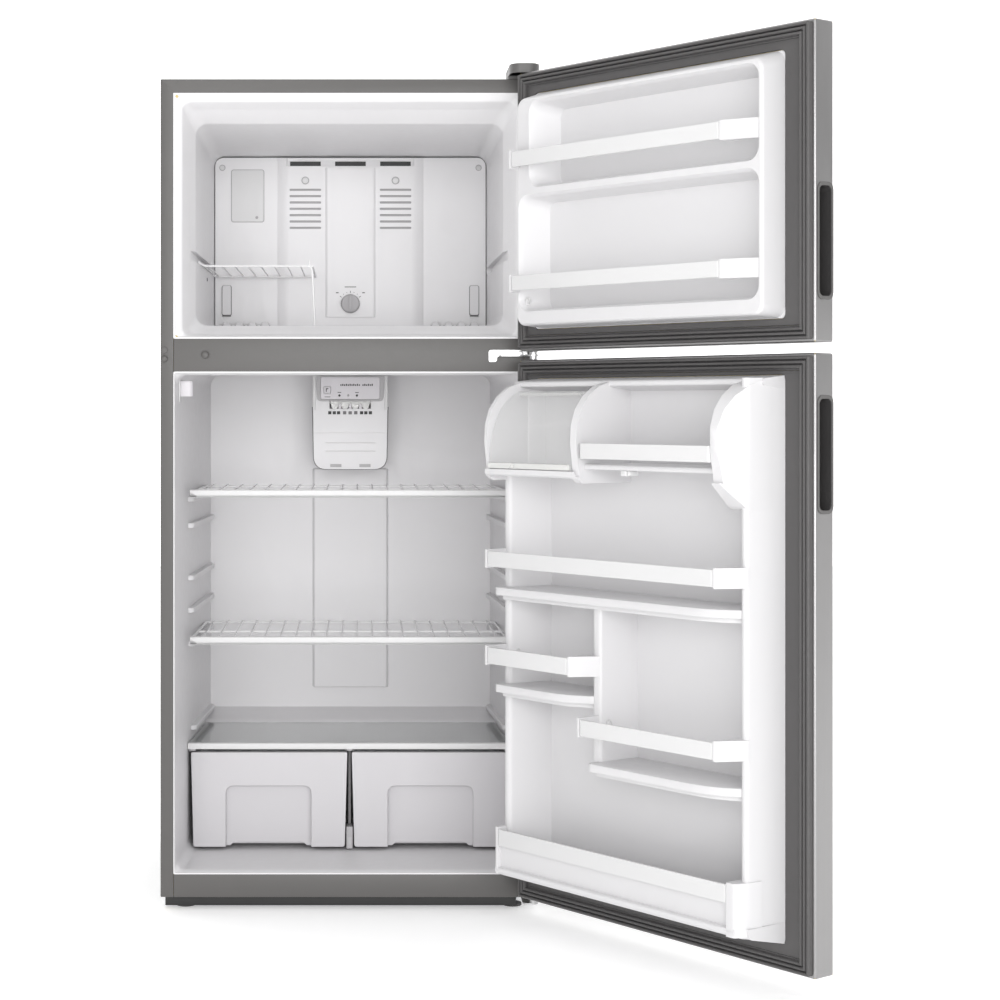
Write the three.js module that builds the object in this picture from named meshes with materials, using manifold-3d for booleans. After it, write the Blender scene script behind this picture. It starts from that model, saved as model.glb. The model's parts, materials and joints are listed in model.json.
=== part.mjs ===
// A two-door, top freezer refrigerator with both doors standing open, in millimetres, +Z up.
// Cabinet coordinates: x from the cabinet's centre line (right is +), y back from its front face, z above its lower edge.
// Door coordinates: u along the door from its hinge edge, p out of its inner face, z as on the cabinet.
import * as THREE from "three";
import { mergeVertices } from "three/addons/utils/BufferGeometryUtils.js";
import Module from "manifold-3d";

const wasm = await Module();
wasm.setup();

// ---- Driving dimensions ----
const CABINET = { width: 755.6, depth: 714, height: 1639 };
const HALF = CABINET.width / 2;
const FOOT = 25; // the cabinet's lower edge above the floor
const SHEET = 1.2; // painted steel
const GAP = 0.3; // between pieces that touch
const FLANGE = 26; // front return of the side walls
const TOP_FLANGE = 28;
const OPENING = HALF - FLANGE;
const MULLION = { low: 1052.5, high: 1119.7 };
const RAIL_TOP = 46.7; // top of the bottom rail
const LINER = 2.5; // moulded plastic wall
const MACHINE = { front: 517, top: 243 }; // the compressor's space under the rear foam

const FRIDGE_INSIDE = [
  { y: 0, half: 349, low: 49.5, high: 1049.7, r: 6 },
  { y: 14, half: 348.3, low: 53, high: 1046, r: 20 },
  { y: 590, half: 319, low: 55, high: 1054, r: 25 },
];
const FREEZER_INSIDE = [
  { y: 0, half: 349, low: 1122.5, high: 1608.2, r: 8 },
  { y: 12, half: 335, low: 1125, high: 1595, r: 14 },
  { y: 48, half: 327.5, low: 1129, high: 1585, r: 18 },
  { y: 102, half: 315, low: 1149, high: 1562, r: 22 },
  { y: 655, half: 311, low: 1151, high: 1554, r: 22 },
];
const GROOVE = { reach: 323, front: 60, back: 594, low: 1280, high: 1300 }; // holds the freezer shelf's side
const RIBS = { tops: [794, 738, 628, 560, 490], front: 205, back: 570, height: 11 };
const SHELF = { front: 136, back: 486, half: 330, backHalf: 322, trim: 16.5, pitch: 32 };
const SHELF_TOPS = [811, 507];
const GLASS = { top: 278.6, thick: 4, front: 197, back: 479 };
const CRISPER = { front: 190, low: 61, high: 259, backHalf: 313, back: 471 };
const CONTROL = { half: 84, low: 843, high: 1052, front: 480, back: 589.5 };
const COVER = { y: 598, thick: 3, half: 310.5, low: 1151.5, high: 1553 };
const RAISED = { half: 160, low: 1187, depth: 12 };
const KNOB = { z: 1217.5, r: 21.5 };

const DOOR = { width: 752, thick: 48, openAngle: 127.3 };
const PIN = { x: 366, y: -38.5, r: 4.5, inboard: 12, inset: 25 };
const FREEZER_DOOR = { low: 1092.7, high: 1643.4, pocket: [1168, 1364], liner: [1135, 1597] };
const FRIDGE_DOOR = { low: 9.5, high: 1074.7, pocket: [802, 1000], liner: [57.6, 1037] };
const FREEZER_RAILS = [{ low: 1446, high: 1475 }, { low: 1207, high: 1235 }];
const FRIDGE_RAILS = [
  { name: "fridge_door_bar_top", u0: 322, u1: 645, low: 887, high: 917, crest: 93, front: 143 },
  { name: "fridge_door_bar_middle", u0: 66, u1: 650, low: 677, high: 706, crest: 93, front: 143 },
  { name: "fridge_door_bar_left", u0: 66, u1: 290, low: 491, high: 522, crest: 93, front: 143 },
  { name: "fridge_door_bar_right", u0: 322, u1: 650, low: 384, high: 413, crest: 93, front: 143 },
  { name: "fridge_door_bar_bottom", u0: 66, u1: 668, low: 139, high: 170, crest: 93, front: 116 },
];

// ---- Finishes ----
const finish = (color, roughness, metalness) =>
  new THREE.MeshStandardMaterial({ color, roughness, metalness });
const paintedGray = finish(0x7d7a78, 0.45, 0.3);
const stainless = finish(0xa09e9e, 0.35, 0.9);
const galvanised = finish(0x9a9c9e, 0.5, 0.8);
const plated = finish(0xc8c8c8, 0.3, 0.9);
const white = finish(0xe6e6e8, 0.45, 0);
const wireWhite = finish(0xf0f0f0, 0.35, 0);
const drawerWhite = finish(0xdad9db, 0.3, 0);
const glass = finish(0xbec1c2, 0.1, 0);
const clear = finish(0xe4e6e7, 0.08, 0);
const foam = finish(0xd8c58a, 0.95, 0);
const gasketGray = finish(0x82807f, 0.7, 0);
const darkPlastic = finish(0x3c3a3a, 0.5, 0);
const dialGray = finish(0xb5b5b6, 0.5, 0);
const panelGray = finish(0xd5d2d6, 0.45, 0);
const black = finish(0x1c1c1c, 0.55, 0.2);
const aluminium = finish(0xb8babd, 0.4, 0.9);
const copper = finish(0x6b3f2a, 0.5, 0.7);

// ---- Geometry helpers ----
const count = (n) => Array.from({ length: n }, (_, i) => i);
const turn = (x, y, z) => new THREE.Matrix4().makeBasis(x, y, z);
const EX = new THREE.Vector3(1, 0, 0);
const EY = new THREE.Vector3(0, 1, 0);
const EZ = new THREE.Vector3(0, 0, 1);

function block(x0, x1, y0, y1, z0, z1) {
  const box = new THREE.BoxGeometry(x1 - x0, y1 - y0, z1 - z0);
  return box.translate((x0 + x1) / 2, (y0 + y1) / 2, (z0 + z1) / 2);
}

function polygon(points) {
  return new THREE.Shape(points.map(([a, b]) => new THREE.Vector2(a, b)));
}

function roundedRect(x0, x1, y0, y1, r) {
  const shape = new THREE.Shape();
  shape.absarc(x1 - r, y0 + r, r, -Math.PI / 2, 0);
  shape.absarc(x1 - r, y1 - r, r, 0, Math.PI / 2);
  shape.absarc(x0 + r, y1 - r, r, Math.PI / 2, Math.PI);
  shape.absarc(x0 + r, y0 + r, r, Math.PI, 1.5 * Math.PI);
  return shape;
}

const extrude = (shape, depth) =>
  new THREE.ExtrudeGeometry(shape, { depth, bevelEnabled: false, curveSegments: 3 });

// An outline in x and z, from y0 to y1.
const extrudeY = (shape, y0, y1) =>
  extrude(shape, y1 - y0).rotateX(Math.PI / 2).translate(0, y1, 0);
// An outline in y and z, from x0 to x1.
const extrudeX = (shape, x0, x1) =>
  extrude(shape, x1 - x0).applyMatrix4(turn(EY, EZ, EX)).translate(x0, 0, 0);
// An outline in x and y, from z0 to z1.
const extrudeZ = (shape, z0, z1) => extrude(shape, z1 - z0).translate(0, 0, z0);

// A round bar from one point to another.
function rod(from, to, r, sides = 8) {
  const a = new THREE.Vector3(...from);
  const b = new THREE.Vector3(...to);
  const bar = new THREE.CylinderGeometry(r, r, a.distanceTo(b), sides);
  const aim = new THREE.Quaternion().setFromUnitVectors(EY, b.clone().sub(a).normalize());
  const middle = a.add(b).multiplyScalar(0.5);
  return bar.applyQuaternion(aim).translate(middle.x, middle.y, middle.z);
}

// A round tube along a smooth curve through the points.
function bentTube(points, r, sides, steps) {
  const path = new THREE.CatmullRomCurve3(points.map((p) => new THREE.Vector3(...p)), false, "catmullrom", 0.3);
  const ring = count(sides).map((i) => {
    const angle = (2 * Math.PI * i) / sides;
    return [r * Math.cos(angle), r * Math.sin(angle)];
  });
  return new THREE.ExtrudeGeometry(polygon(ring), { steps, extrudePath: path, bevelEnabled: false });
}

// A turned piece: [radius, height] pairs from axis to axis, bottom first.
const lathe = (profile, sides = 16) =>
  new THREE.LatheGeometry(profile.map(([r, h]) => new THREE.Vector2(r, h)), sides).rotateX(Math.PI / 2);

// Rounded rectangles in x and z at each section's y, skinned into one closed body.
function loft(sections) {
  const rings = sections.map((s) => roundedRect(s.x0, s.x1, s.z0, s.z1, s.r).getPoints(3));
  const n = rings[0].length;
  const positions = rings.flatMap((ring, k) => ring.flatMap((q) => [q.x, sections[k].y, q.y]));
  const faces = [];
  for (let k = 0; k + 1 < rings.length; k++) {
    for (let i = 0; i < n; i++) {
      const j = (i + 1) % n;
      const [a, b] = [k * n, (k + 1) * n];
      faces.push(a + i, b + i, b + j, a + i, b + j, a + j);
    }
  }
  for (const [k, flip] of [[0, false], [rings.length - 1, true]]) {
    const s = sections[k];
    const centre = positions.length / 3;
    positions.push((s.x0 + s.x1) / 2, s.y, (s.z0 + s.z1) / 2);
    for (let i = 0; i < n; i++) {
      const pair = [k * n + i, k * n + ((i + 1) % n)];
      faces.push(centre, ...(flip ? pair.reverse() : pair));
    }
  }
  const made = new THREE.BufferGeometry();
  made.setAttribute("position", new THREE.Float32BufferAttribute(positions, 3));
  return made.setIndex(faces);
}

// The same, with the sections' rectangles in x and y at each section's z.
const loftZ = (sections) =>
  loft(sections.map((s) => ({ y: s.z, x0: s.x0, x1: s.x1, z0: -s.y1, z1: -s.y0, r: s.r }))).rotateX(Math.PI / 2);

function toSolid(geometry) {
  const bare = geometry.clone();
  bare.deleteAttribute("normal");
  bare.deleteAttribute("uv");
  const merged = mergeVertices(bare, 1e-4);
  const vertProperties = new Float32Array(merged.attributes.position.array);
  const triVerts = new Uint32Array(merged.index.array);
  return new wasm.Manifold(new wasm.Mesh({ numProp: 3, vertProperties, triVerts }));
}

function fromSolid(solid) {
  const mesh = solid.getMesh();
  const made = new THREE.BufferGeometry();
  made.setAttribute("position", new THREE.BufferAttribute(mesh.vertProperties, 3));
  made.setIndex(new THREE.BufferAttribute(mesh.triVerts, 1));
  made.computeVertexNormals();
  return made;
}

const sum = (pieces) => pieces.map(toSolid).reduce((all, next) => all.add(next));
const join = (...pieces) => fromSolid(sum(pieces));
const cut = (body, ...holes) => fromSolid(toSolid(body).subtract(sum(holes)));

function add(parent, name, geometry, material, [x, y, z] = [0, 0, 0]) {
  const mesh = new THREE.Mesh(geometry, material);
  mesh.name = name;
  mesh.position.set(x, y, z);
  parent.add(mesh);
}

// ---- Cabinet ----
function cabinetShell() {
  const { depth, height } = CABINET;
  return cut(
    block(-HALF, HALF, 0, depth, 0, height),
    block(SHEET - HALF, HALF - SHEET, SHEET, depth + 1, -1, height - SHEET),
    block(-OPENING, OPENING, -1, SHEET + 1, -1, height - TOP_FLANGE),
  );
}

// A front rail folded back along its top and bottom edges.
function crossRail(low, high) {
  const fold = 18;
  const half = OPENING - GAP;
  return cut(
    block(-half, half, 0, fold, low, high),
    block(-half - 1, half + 1, SHEET, fold + 1, low + SHEET, high - SHEET),
  );
}

function sections(inside, grow, openFront) {
  const list = inside.map((s) => ({
    y: s.y,
    x0: -s.half - grow,
    x1: s.half + grow,
    z0: s.low - grow,
    z1: s.high + grow,
    r: s.r + grow,
  }));
  list[list.length - 1].y += grow;
  if (openFront) return [{ ...list[0], y: -1 }, ...list];
  list[0].y = GAP / 2;
  return list;
}

const wallAt = (y) => 349 - ((349 - 319) * y) / 590;

// The hump over the compressor's space, moved into the compartment by grow.
function hump(grow) {
  const outline = [
    [484.5 - grow, -20], [484.5 - grow, 260 + grow], [502 - grow / 2, 275.5 + grow],
    [600, 297.5 + grow], [720, 297.5 + grow], [720, -20],
  ];
  return extrudeX(polygon(outline), -HALF, HALF);
}

// A shelf rib moulded in a side wall; side is -1 or 1.
function rib(side, top, front = RIBS.front) {
  const reach = 13;
  const outline = [
    [side * (wallAt(front) + 1), front], [side * (wallAt(front) - reach), front + 12],
    [side * (wallAt(RIBS.back) - reach), RIBS.back], [side * (wallAt(RIBS.back) + 1), RIBS.back + 3],
  ];
  return extrudeZ(polygon(side > 0 ? outline : outline.reverse()), top - RIBS.height, top);
}

const SWITCH = { y: 75, low: 1003, high: 1035, deep: 16 };
function switchPocket(reach, grow) {
  const { y, low, high, deep } = SWITCH;
  return block(-HALF + reach, -330, y - deep / 2 - grow, y + deep / 2 + grow, low - grow, high + grow);
}

function fridgeLiner() {
  const outer = toSolid(loft(sections(FRIDGE_INSIDE, LINER, false))).subtract(toSolid(hump(0)));
  const inner = toSolid(loft(sections(FRIDGE_INSIDE, 0, true))).subtract(toSolid(hump(LINER)));
  const extras = [block(-86, 86, 583, 591.5, 343, 841)];
  for (const side of [-1, 1]) {
    for (const top of RIBS.tops) extras.push(rib(side, top));
    extras.push(rib(side, 306, 250), rib(side, GLASS.top - 12.9, 220));
  }
  return fromSolid(outer.subtract(inner).add(sum(extras)).subtract(toSolid(switchPocket(0, 1))));
}

// The shelf groove in a side wall of the freezer, grown by a margin; side is -1 or 1.
function groove(side, grow) {
  const { reach, front, back, low, high } = GROOVE;
  const wall = 305;
  const [a, b] = [side * wall, side * (reach + grow)];
  return block(Math.min(a, b), Math.max(a, b), front - grow, back + grow, low - grow, high + grow);
}

function freezerLiner() {
  const outside = [-1, 1].map((side) => groove(side, LINER));
  const inside = [-1, 1].map((side) => groove(side, 0));
  const solid = join(loft(sections(FREEZER_INSIDE, LINER, false)), ...outside);
  return cut(solid, loft(sections(FREEZER_INSIDE, 0, true)), ...inside);
}

function insulation() {
  const edge = HALF - SHEET - GAP;
  const clear = LINER + GAP;
  return cut(
    block(-edge, edge, SHEET + GAP, CABINET.depth - 2.4, 2.4, CABINET.height - SHEET - GAP),
    loft(sections(FRIDGE_INSIDE, clear, true)),
    loft(sections(FREEZER_INSIDE, clear, true)),
    groove(-1, clear),
    groove(1, clear),
    block(-HALF - 1, HALF + 1, MACHINE.front, CABINET.depth + 1, -1, MACHINE.top),
    block(-OPENING, OPENING, -1, 19, MULLION.low - 1, MULLION.high + 1),
    block(-OPENING, OPENING, -1, 19, -1, RAIL_TOP + 1),
    switchPocket(2, 1.5),
  );
}

function basePan() {
  const edge = HALF - SHEET - GAP;
  const parts = [block(-edge, edge, 19, CABINET.depth - 4, 0, 2)];
  for (const side of [-1, 1]) {
    const socket = cut(rod([side * 330, 45, -12], [side * 330, 45, 1], 11), rod([side * 330, 45, -13], [side * 330, 45, -0.5], 5.8));
    parts.push(socket);
    for (const x of [side * 330 - 12, side * 330 + 10]) {
      parts.push(cut(block(x, x + 2, 670, 690, -20, 1), rod([x - 1, 680, -11], [x + 3, 680, -11], 3.4)));
    }
  }
  const wells = [-330, 330].map((x) => block(x - 9, x + 9, 662, 698, -1, 3));
  return cut(join(...parts), ...wells);
}

function rearCover() {
  const slots = count(14).map((i) => block(-345 + i * 48, -315 + i * 48, 700, 720, 150, 158));
  const lower = count(14).map((i) => block(-345 + i * 48, -315 + i * 48, 700, 720, 90, 98));
  return cut(block(-374, 374, 711.8, 713.2, 4, MACHINE.top - 1), ...slots, ...lower);
}

// ---- Freezer inside ----
function evaporatorCover() {
  const plate = extrudeY(roundedRect(-COVER.half, COVER.half, COVER.low, COVER.high, 20), COVER.y, COVER.y + COVER.thick);
  const front = COVER.y - RAISED.depth;
  const raised = block(-RAISED.half, RAISED.half, front, COVER.y + 1, RAISED.low, COVER.high);
  const behind = block(3 - RAISED.half, RAISED.half - 3, front + 3, COVER.y + 9, RAISED.low + 3, COVER.high - 3);
  const vents = [-1, 1].flatMap((side) =>
    count(7).map((i) => {
      const z = 1391 + 14.5 * i;
      return block(Math.min(side * 67, side * 141), Math.max(side * 67, side * 141), front - 1, front + 4, z - 1.8, z + 1.8);
    }),
  );
  const top = [-103, 0, 103].map((x) => block(x - 33, x + 33, front - 1, front + 4, 1536, 1540));
  const shaft = rod([0, front - 1, KNOB.z], [0, front + 4, KNOB.z], 6);
  const access = extrudeY(roundedRect(-272, -198, 1405, 1524, 6), COVER.y - 2.5, COVER.y + 1);
  return cut(join(plate, raised, access), behind, ...vents, ...top, shaft);
}

function knob() {
  const grip = block(-3, 3, -20, -12, -17, 17);
  return join(rod([0, -13, 0], [0, -0.4, 0], KNOB.r, 20), grip, rod([0, -1, 0], [0, 10, 0], 4));
}

function evaporatorCoil() {
  const fins = count(9).map((i) => block(-241 + i * 60, -239 + i * 60, 612, 646, 1208, 1335));
  const tubes = [1230, 1271, 1312].map((z) => rod([-262, 629, z], [262, 629, z], 5, 6));
  const ends = [block(-266, -261, 622, 636, 1222, 1320), block(261, 266, 622, 636, 1222, 1320)];
  return join(...fins, ...tubes, ...ends);
}

function fan(radius, depth) {
  const blades = count(4).map((i) => {
    const blade = block(4, radius, -depth / 2 + 1, depth / 2 - 1, -1.2, 1.2);
    return blade.rotateX(0.5).translate(0, 0, 0).rotateY((i * Math.PI) / 2);
  });
  return join(rod([0, -depth / 2, 0], [0, depth / 2, 0], radius * 0.26, 12), ...blades);
}

function freezerShelf() {
  const [left, right, front, back, z, r] = [-304, -79, 212, 582, 1278.5, 2.6];
  const pitch = (right - left) / 8;
  const side = { x: -316, z: 1286 }; // the wire that lies in the wall's groove
  const parts = [
    rod([side.x, front - r, side.z], [side.x, back + r, side.z], r, 6),
    rod([left, front, z], [side.x, front, side.z], r, 6),
    rod([left, back, z], [side.x, back, side.z], r, 6),
    rod([left, front, z], [right + r, front, z], r, 6),
    rod([left, back, z], [right + r, back, z], r, 6),
    rod([right, front - r, z], [right, back + r, z], r, 6),
    rod([right, front, z + r], [right, front, 1150.6], r, 6),
    rod([right, back, z + r], [right, back, 1152], r, 6),
    rod([left, 400, z - 1], [right, 400, z - 1], 1.8, 6),
  ];
  for (const i of count(7)) {
    const x = left + pitch * (i + 1);
    parts.push(rod([x, front, z + 1], [x, back, z + 1], 1.4, 4));
  }
  return join(...parts);
}

// ---- Fridge inside ----
function wireShelf(top) {
  const { front, back, half, backHalf, trim, pitch } = SHELF;
  const z = top - 6;
  const parts = [
    block(-half, half, front, front + 12, top - trim, top),
    rod([-backHalf, back, z], [backHalf, back, z], 2.6, 6),
    rod([-half + 3, 292, z], [half - 3, 292, z], 2.6, 6),
    rod([-half + 3, front + 9, z], [-backHalf + 2, back + 2, z], 2.6, 6),
    rod([half - 3, front + 9, z], [backHalf - 2, back + 2, z], 2.6, 6),
  ];
  for (const i of count(20)) {
    const x = (i - 9.5) * pitch;
    parts.push(rod([x, front + 9, top - 3.2], [x, back + 1, top - 3.2], 1.5, 4));
  }
  return join(...parts);
}

function crisperGlass() {
  const { front, back, top, thick } = GLASS;
  const outline = [[-336, front], [336, front], [322, back], [-322, back]];
  return extrudeZ(polygon(outline), top - thick, top);
}

function crisperFrame() {
  const top = GLASS.top - GLASS.thick - GAP;
  const outer = extrudeZ(polygon([[-337, 190], [337, 190], [322.5, 480], [-322.5, 480]]), top - 8, top);
  const inner = extrudeZ(polygon([[-317, 210], [317, 210], [306, 468], [-306, 468]]), top - 9, top + 1);
  const trim = block(-338.5, 338.5, 186, 196.5, GLASS.top - 11, GLASS.top + 0.4);
  return join(cut(outer, inner), trim);
}

function crisperSupport() {
  const wall = block(-3, 3, 231, 478, 56, 265.6);
  return join(wall, block(-7.2, 7.2, 196, 232, 56, 102));
}

// side -1 is the left drawer, 1 the right one.
function crisper(side) {
  const { front, low, high, backHalf, back } = CRISPER;
  const tray = { z0: low + 1, z1: high - 3 };
  const panel = polygon([[-327, low], [-10, low], [-4.5, high], [-332, high]]);
  const outer = loftZ([
    { z: tray.z0, x0: -307, x1: -13, y0: front + 20, y1: back - 7, r: 14 },
    { z: tray.z1, x0: -backHalf, x1: -8, y0: front + 20, y1: back, r: 14 },
  ]);
  const inner = loftZ([
    { z: tray.z0 + 3, x0: -304, x1: -16, y0: front + 24, y1: back - 10, r: 11 },
    { z: tray.z1 + 1, x0: 3 - backHalf, x1: -11, y0: front + 24, y1: back - 3, r: 11 },
  ]);
  const recess = extrudeY(roundedRect(-259, -80, low - 30, 189, 18), front - 1, front + 15);
  const notch = block(-250, -90, front - 1, front + 19, low - 1, low + 5);
  const made = cut(join(extrudeY(panel, front, front + 22), outer), inner, recess, notch);
  return side < 0 ? made : fromSolid(toSolid(made).mirror([1, 0, 0]));
}

function controlBox() {
  const { half, low, high, front, back } = CONTROL;
  const outline = (inset) => {
    const shape = new THREE.Shape();
    const r = 28 - inset;
    shape.absarc(-half + inset + r, low + inset + r, r, Math.PI, 1.5 * Math.PI);
    shape.absarc(half - inset - r, low + inset + r, r, -Math.PI / 2, 0);
    shape.lineTo(half - inset, high - inset);
    shape.lineTo(-half + inset, high - inset);
    return shape;
  };
  return cut(
    extrudeY(outline(0), front, back),
    extrudeY(outline(3), front + 3, back + 1),
    block(-42, 42, front - 1, front + 4, 978, 994),
    block(-60, -42, front - 1, front + 4, 1010.5, 1028.5),
    block(-45, -22, front - 1, front + 4, 851, 854),
    block(22, 45, front - 1, front + 4, 851, 854),
  );
}

function controlPanel() {
  const { front } = CONTROL;
  return cut(
    extrudeY(roundedRect(-66, 66, 999, 1050, 5), front - 4, front - GAP),
    block(-59.5, -42.5, front - 5, front + 1, 1011, 1028),
  );
}

function lightLens() {
  const { front } = CONTROL;
  const shape = new THREE.Shape();
  shape.moveTo(front - GAP, 975.5);
  shape.lineTo(front - GAP, 997.5);
  shape.absarc(front + 6, 986.5, 18.4, Math.PI - 0.62, Math.PI + 0.62);
  return extrudeX(shape, -46, 46);
}

const bulb = () =>
  lathe([[0, -34], [9, -34], [9, -16], [13, -8], [15, 2], [11, 12], [0, 16]]).rotateY(Math.PI / 2);

// ---- Machine compartment ----
const compressor = () =>
  join(
    lathe([[0, 0], [70, 0], [80, 20], [82, 80], [78, 120], [60, 148], [25, 160], [0, 160]], 20),
    block(-95, 95, -60, -40, -8, 4),
    block(-95, 95, 40, 60, -8, 4),
  );

function condenserCoil() {
  const points = [[-12, -40, 0]];
  for (const i of count(6)) {
    const ends = i % 2 ? [270, 0] : [0, 270];
    points.push([ends[0], 0, i * 26], [(ends[0] + ends[1]) / 2, 0, i * 26], [ends[1], 0, i * 26]);
    if (i < 5) points.push([ends[1] + (i % 2 ? -12 : 12), 0, i * 26 + 13]);
  }
  return bentTube(points, 3.5, 6, 80);
}

function drainPan() {
  return cut(block(40, 350, 530, 705, 4, 32), block(43, 347, 533, 702, 7, 33));
}

const fanMotor = (r, length) => rod([0, 0, 0], [0, length, 0], r, 12);

const roller = () => join(rod([-8, 0, 0], [8, 0, 0], 14, 24), rod([-13.5, 0, 0], [13.5, 0, 0], 3, 8));

const foot = () => lathe([[0, -25], [19, -25], [19, -20], [8, -17], [5, -16], [5, -1], [0, -1]], 20);

// ---- Hinges on the cabinet ----
const pinRod = (z0, z1, r = PIN.r) => rod([PIN.x, PIN.y, z0], [PIN.x, PIN.y, z1], r, 16);

function topHinge() {
  const top = CABINET.height;
  return join(
    block(323, 375, 8, 78, top + GAP, top + 3),
    block(352, 372, 8, 20, top + 1, top + 8),
    block(352, 372, PIN.y - 8, 20, top + 6, top + 8.6),
    pinRod(top - 14, top + 7),
  );
}

function hingeCover() {
  const top = CABINET.height;
  const high = top + 24;
  const over = extrudeZ(roundedRect(319, 379, -53, 84, 14), top + 5.2, high);
  const foot = extrudeZ(roundedRect(319, 379, 4, 84, 6), top + GAP, top + 8);
  return cut(
    join(over, foot),
    extrudeZ(roundedRect(321.5, 376.5, -50.5, 81.5, 11.5), top + 4, high - 2.5),
    extrudeZ(roundedRect(321.5, 376.5, 6.5, 81.5, 4), top - 1, top + 6),
  );
}

function centreHinge() {
  return join(
    block(279.5, 376, -2.8, -GAP, 1083, 1096.5),
    block(279.5, 295.5, -2.8, -GAP, 1072, 1084),
    block(352, 376, PIN.y - 9, -1, 1083, 1086),
    pinRod(1085, 1108),
    pinRod(1086, 1092, 8),
    pinRod(1060, 1084),
    pinRod(1075.4, 1083.5, 8),
  );
}

function bottomHinge() {
  return join(block(345, 376, PIN.y - 9, 70, -3.5, -0.5), pinRod(-2, 28), pinRod(-2, 8.8, 8));
}

// ---- Doors, built closed round the hinge pin ----
const uToX = (u) => PIN.inboard - u;
const pToY = (p) => PIN.inset + p;
const slab = (u0, u1, p0, p1, z0, z1) => block(uToX(u1), uToX(u0), pToY(p0), pToY(p1), z0, z1);

// An outline of [u, p] points seen from above.
function plan(points, z0, z1) {
  const outline = points.map(([u, p]) => [uToX(u), pToY(p)]);
  const area = THREE.ShapeUtils.area(outline.map(([x, y]) => new THREE.Vector2(x, y)));
  return extrudeZ(polygon(area < 0 ? outline.reverse() : outline), z0, z1);
}

// An outline of [p, z] points seen from the end, from u0 to u1.
function along(points, u0, u1) {
  const outline = points.map(([p, z]) => [pToY(p), z]);
  const area = THREE.ShapeUtils.area(outline.map(([y, z]) => new THREE.Vector2(y, z)));
  return extrudeX(polygon(area < 0 ? outline.reverse() : outline), uToX(u1), uToX(u0));
}

const pinHoles = (door, r) => [
  rod([0, 0, door.low - 2], [0, 0, door.low + 24], r, 16),
  rod([0, 0, door.high - 24], [0, 0, door.high + 2], r, 16),
];

function doorSkin(door) {
  const { width, thick } = DOOR;
  const { low, high, pocket } = door;
  return cut(
    slab(0, width, -thick, 0, low, high),
    slab(1, width - 1, 1 - thick, -1, low + 1, high - 1),
    slab(15, width - 15, -2, 1, low + 15, high - 15),
    slab(width - 12, width + 1, -45.4, -6.6, pocket[0] - 0.4, pocket[1] + 0.4),
    ...pinHoles(door, 5.6),
  );
}

function doorFoam(door) {
  const { width, thick } = DOOR;
  const { low, high, pocket } = door;
  const edge = 1.3;
  return cut(
    slab(edge, width - edge, edge - thick, -edge, low + edge, high - edge),
    slab(width - 34.5, width + 1, -45.4, -6.6, pocket[0] - 0.4, pocket[1] + 0.4),
    ...pinHoles(door, 6),
  );
}

function doorGasket(door) {
  const { low, high, liner } = door;
  const margin = 5;
  const u1 = DOOR.width - margin;
  return cut(
    slab(margin + 1, u1, GAP, 12, low + margin, high - margin),
    slab(29, 723, 5, 13, low + 29, high - 29),
    slab(46.5, 689.5, 0, 13, liner[0] - 1, liner[1] + 1),
  );
}

function pocketHandle(door) {
  const { width } = DOOR;
  const [low, high] = door.pocket;
  return cut(
    join(slab(width - 34, width + 0.4, -45, -7, low, high), slab(width + GAP, width + 1.3, -46.6, -5.4, low - 3, high + 3)),
    slab(width - 32, width + 2, -42, -10, low + 5, high - 5),
  );
}

// The U-shaped bar across a door bin.
const bar = (b) =>
  plan([
    [b.u0, b.front - 22], [b.u0, b.front], [b.u1, b.front], [b.u1, b.front - 22],
    [b.u1 - 3, b.front - 22], [b.u1 - 3, b.front - 4], [b.u0 + 3, b.front - 4], [b.u0 + 3, b.front - 22],
  ], b.low, b.high);

// The moulded blocks that hold a bar's ends.
function barBlocks(b, crestU) {
  const [low, high] = [b.low - 3, b.high + 3];
  const base = Math.min(b.front - 26, b.crest - 6);
  return [
    plan([[b.u0 - 8, base], [b.u0 - 8, b.front], [b.u0 - GAP, b.front], [b.u0 - GAP, base]], low, high),
    plan([[b.u1 + GAP, base], [b.u1 + GAP, b.front], [b.u1 + 4, b.front], [crestU, b.crest - 2], [crestU, base]], low, high),
  ];
}

const ledge = (u0, u1, top, front, thick = 16) =>
  along([[2, top], [front - 5, top], [front, top - 5], [front - 4, top - thick], [2, top - thick - 12]], u0, u1);

// Two soft pockets in one raised body; the band between them is the upper bin's floor.
function freezerDoorLiner() {
  const [low, high] = FREEZER_DOOR.liner;
  const ring = (p, u0, u1, z0, z1, r) => ({ y: pToY(p), x0: uToX(u1), x1: uToX(u0), z0, z1, r });
  const dyke = loft([ring(1, 50, 688, low + 1, high, 22), ring(60, 58, 686, low + 5, high - 19, 18)]);
  const upper = loft([ring(3, 122, 662, 1410, high - 40, 18), ring(61, 97, 677, 1408, high - 27, 24)]);
  const lower = loft([ring(3, 92, 662, 1172, 1379, 18), ring(61, 66, 677, 1170, 1389, 24)]);
  const parts = [cut(join(slab(47, 689, GAP, 3, low, high), dyke), upper, lower)];
  for (const b of freezerBars()) parts.push(...barBlocks(b, 677));
  return join(...parts);
}

const freezerBars = () =>
  FREEZER_RAILS.map((r, i) => ({ name: ["freezer_door_bar_upper", "freezer_door_bar_lower"][i], u0: 66, u1: 608, crest: 60, front: 83, ...r }));

// A fin whose front edge curves back from the full bin depth to the liner's top.
function fin(u0, u1) {
  const curve = new THREE.QuadraticBezierCurve(new THREE.Vector2(143, 916), new THREE.Vector2(132, 1004), new THREE.Vector2(52, 1030));
  return along([[2, 842], [128, 842], [143, 851], ...curve.getPoints(6).map((q) => [q.x, q.y]), [2, 1030]], u0, u1);
}

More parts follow.
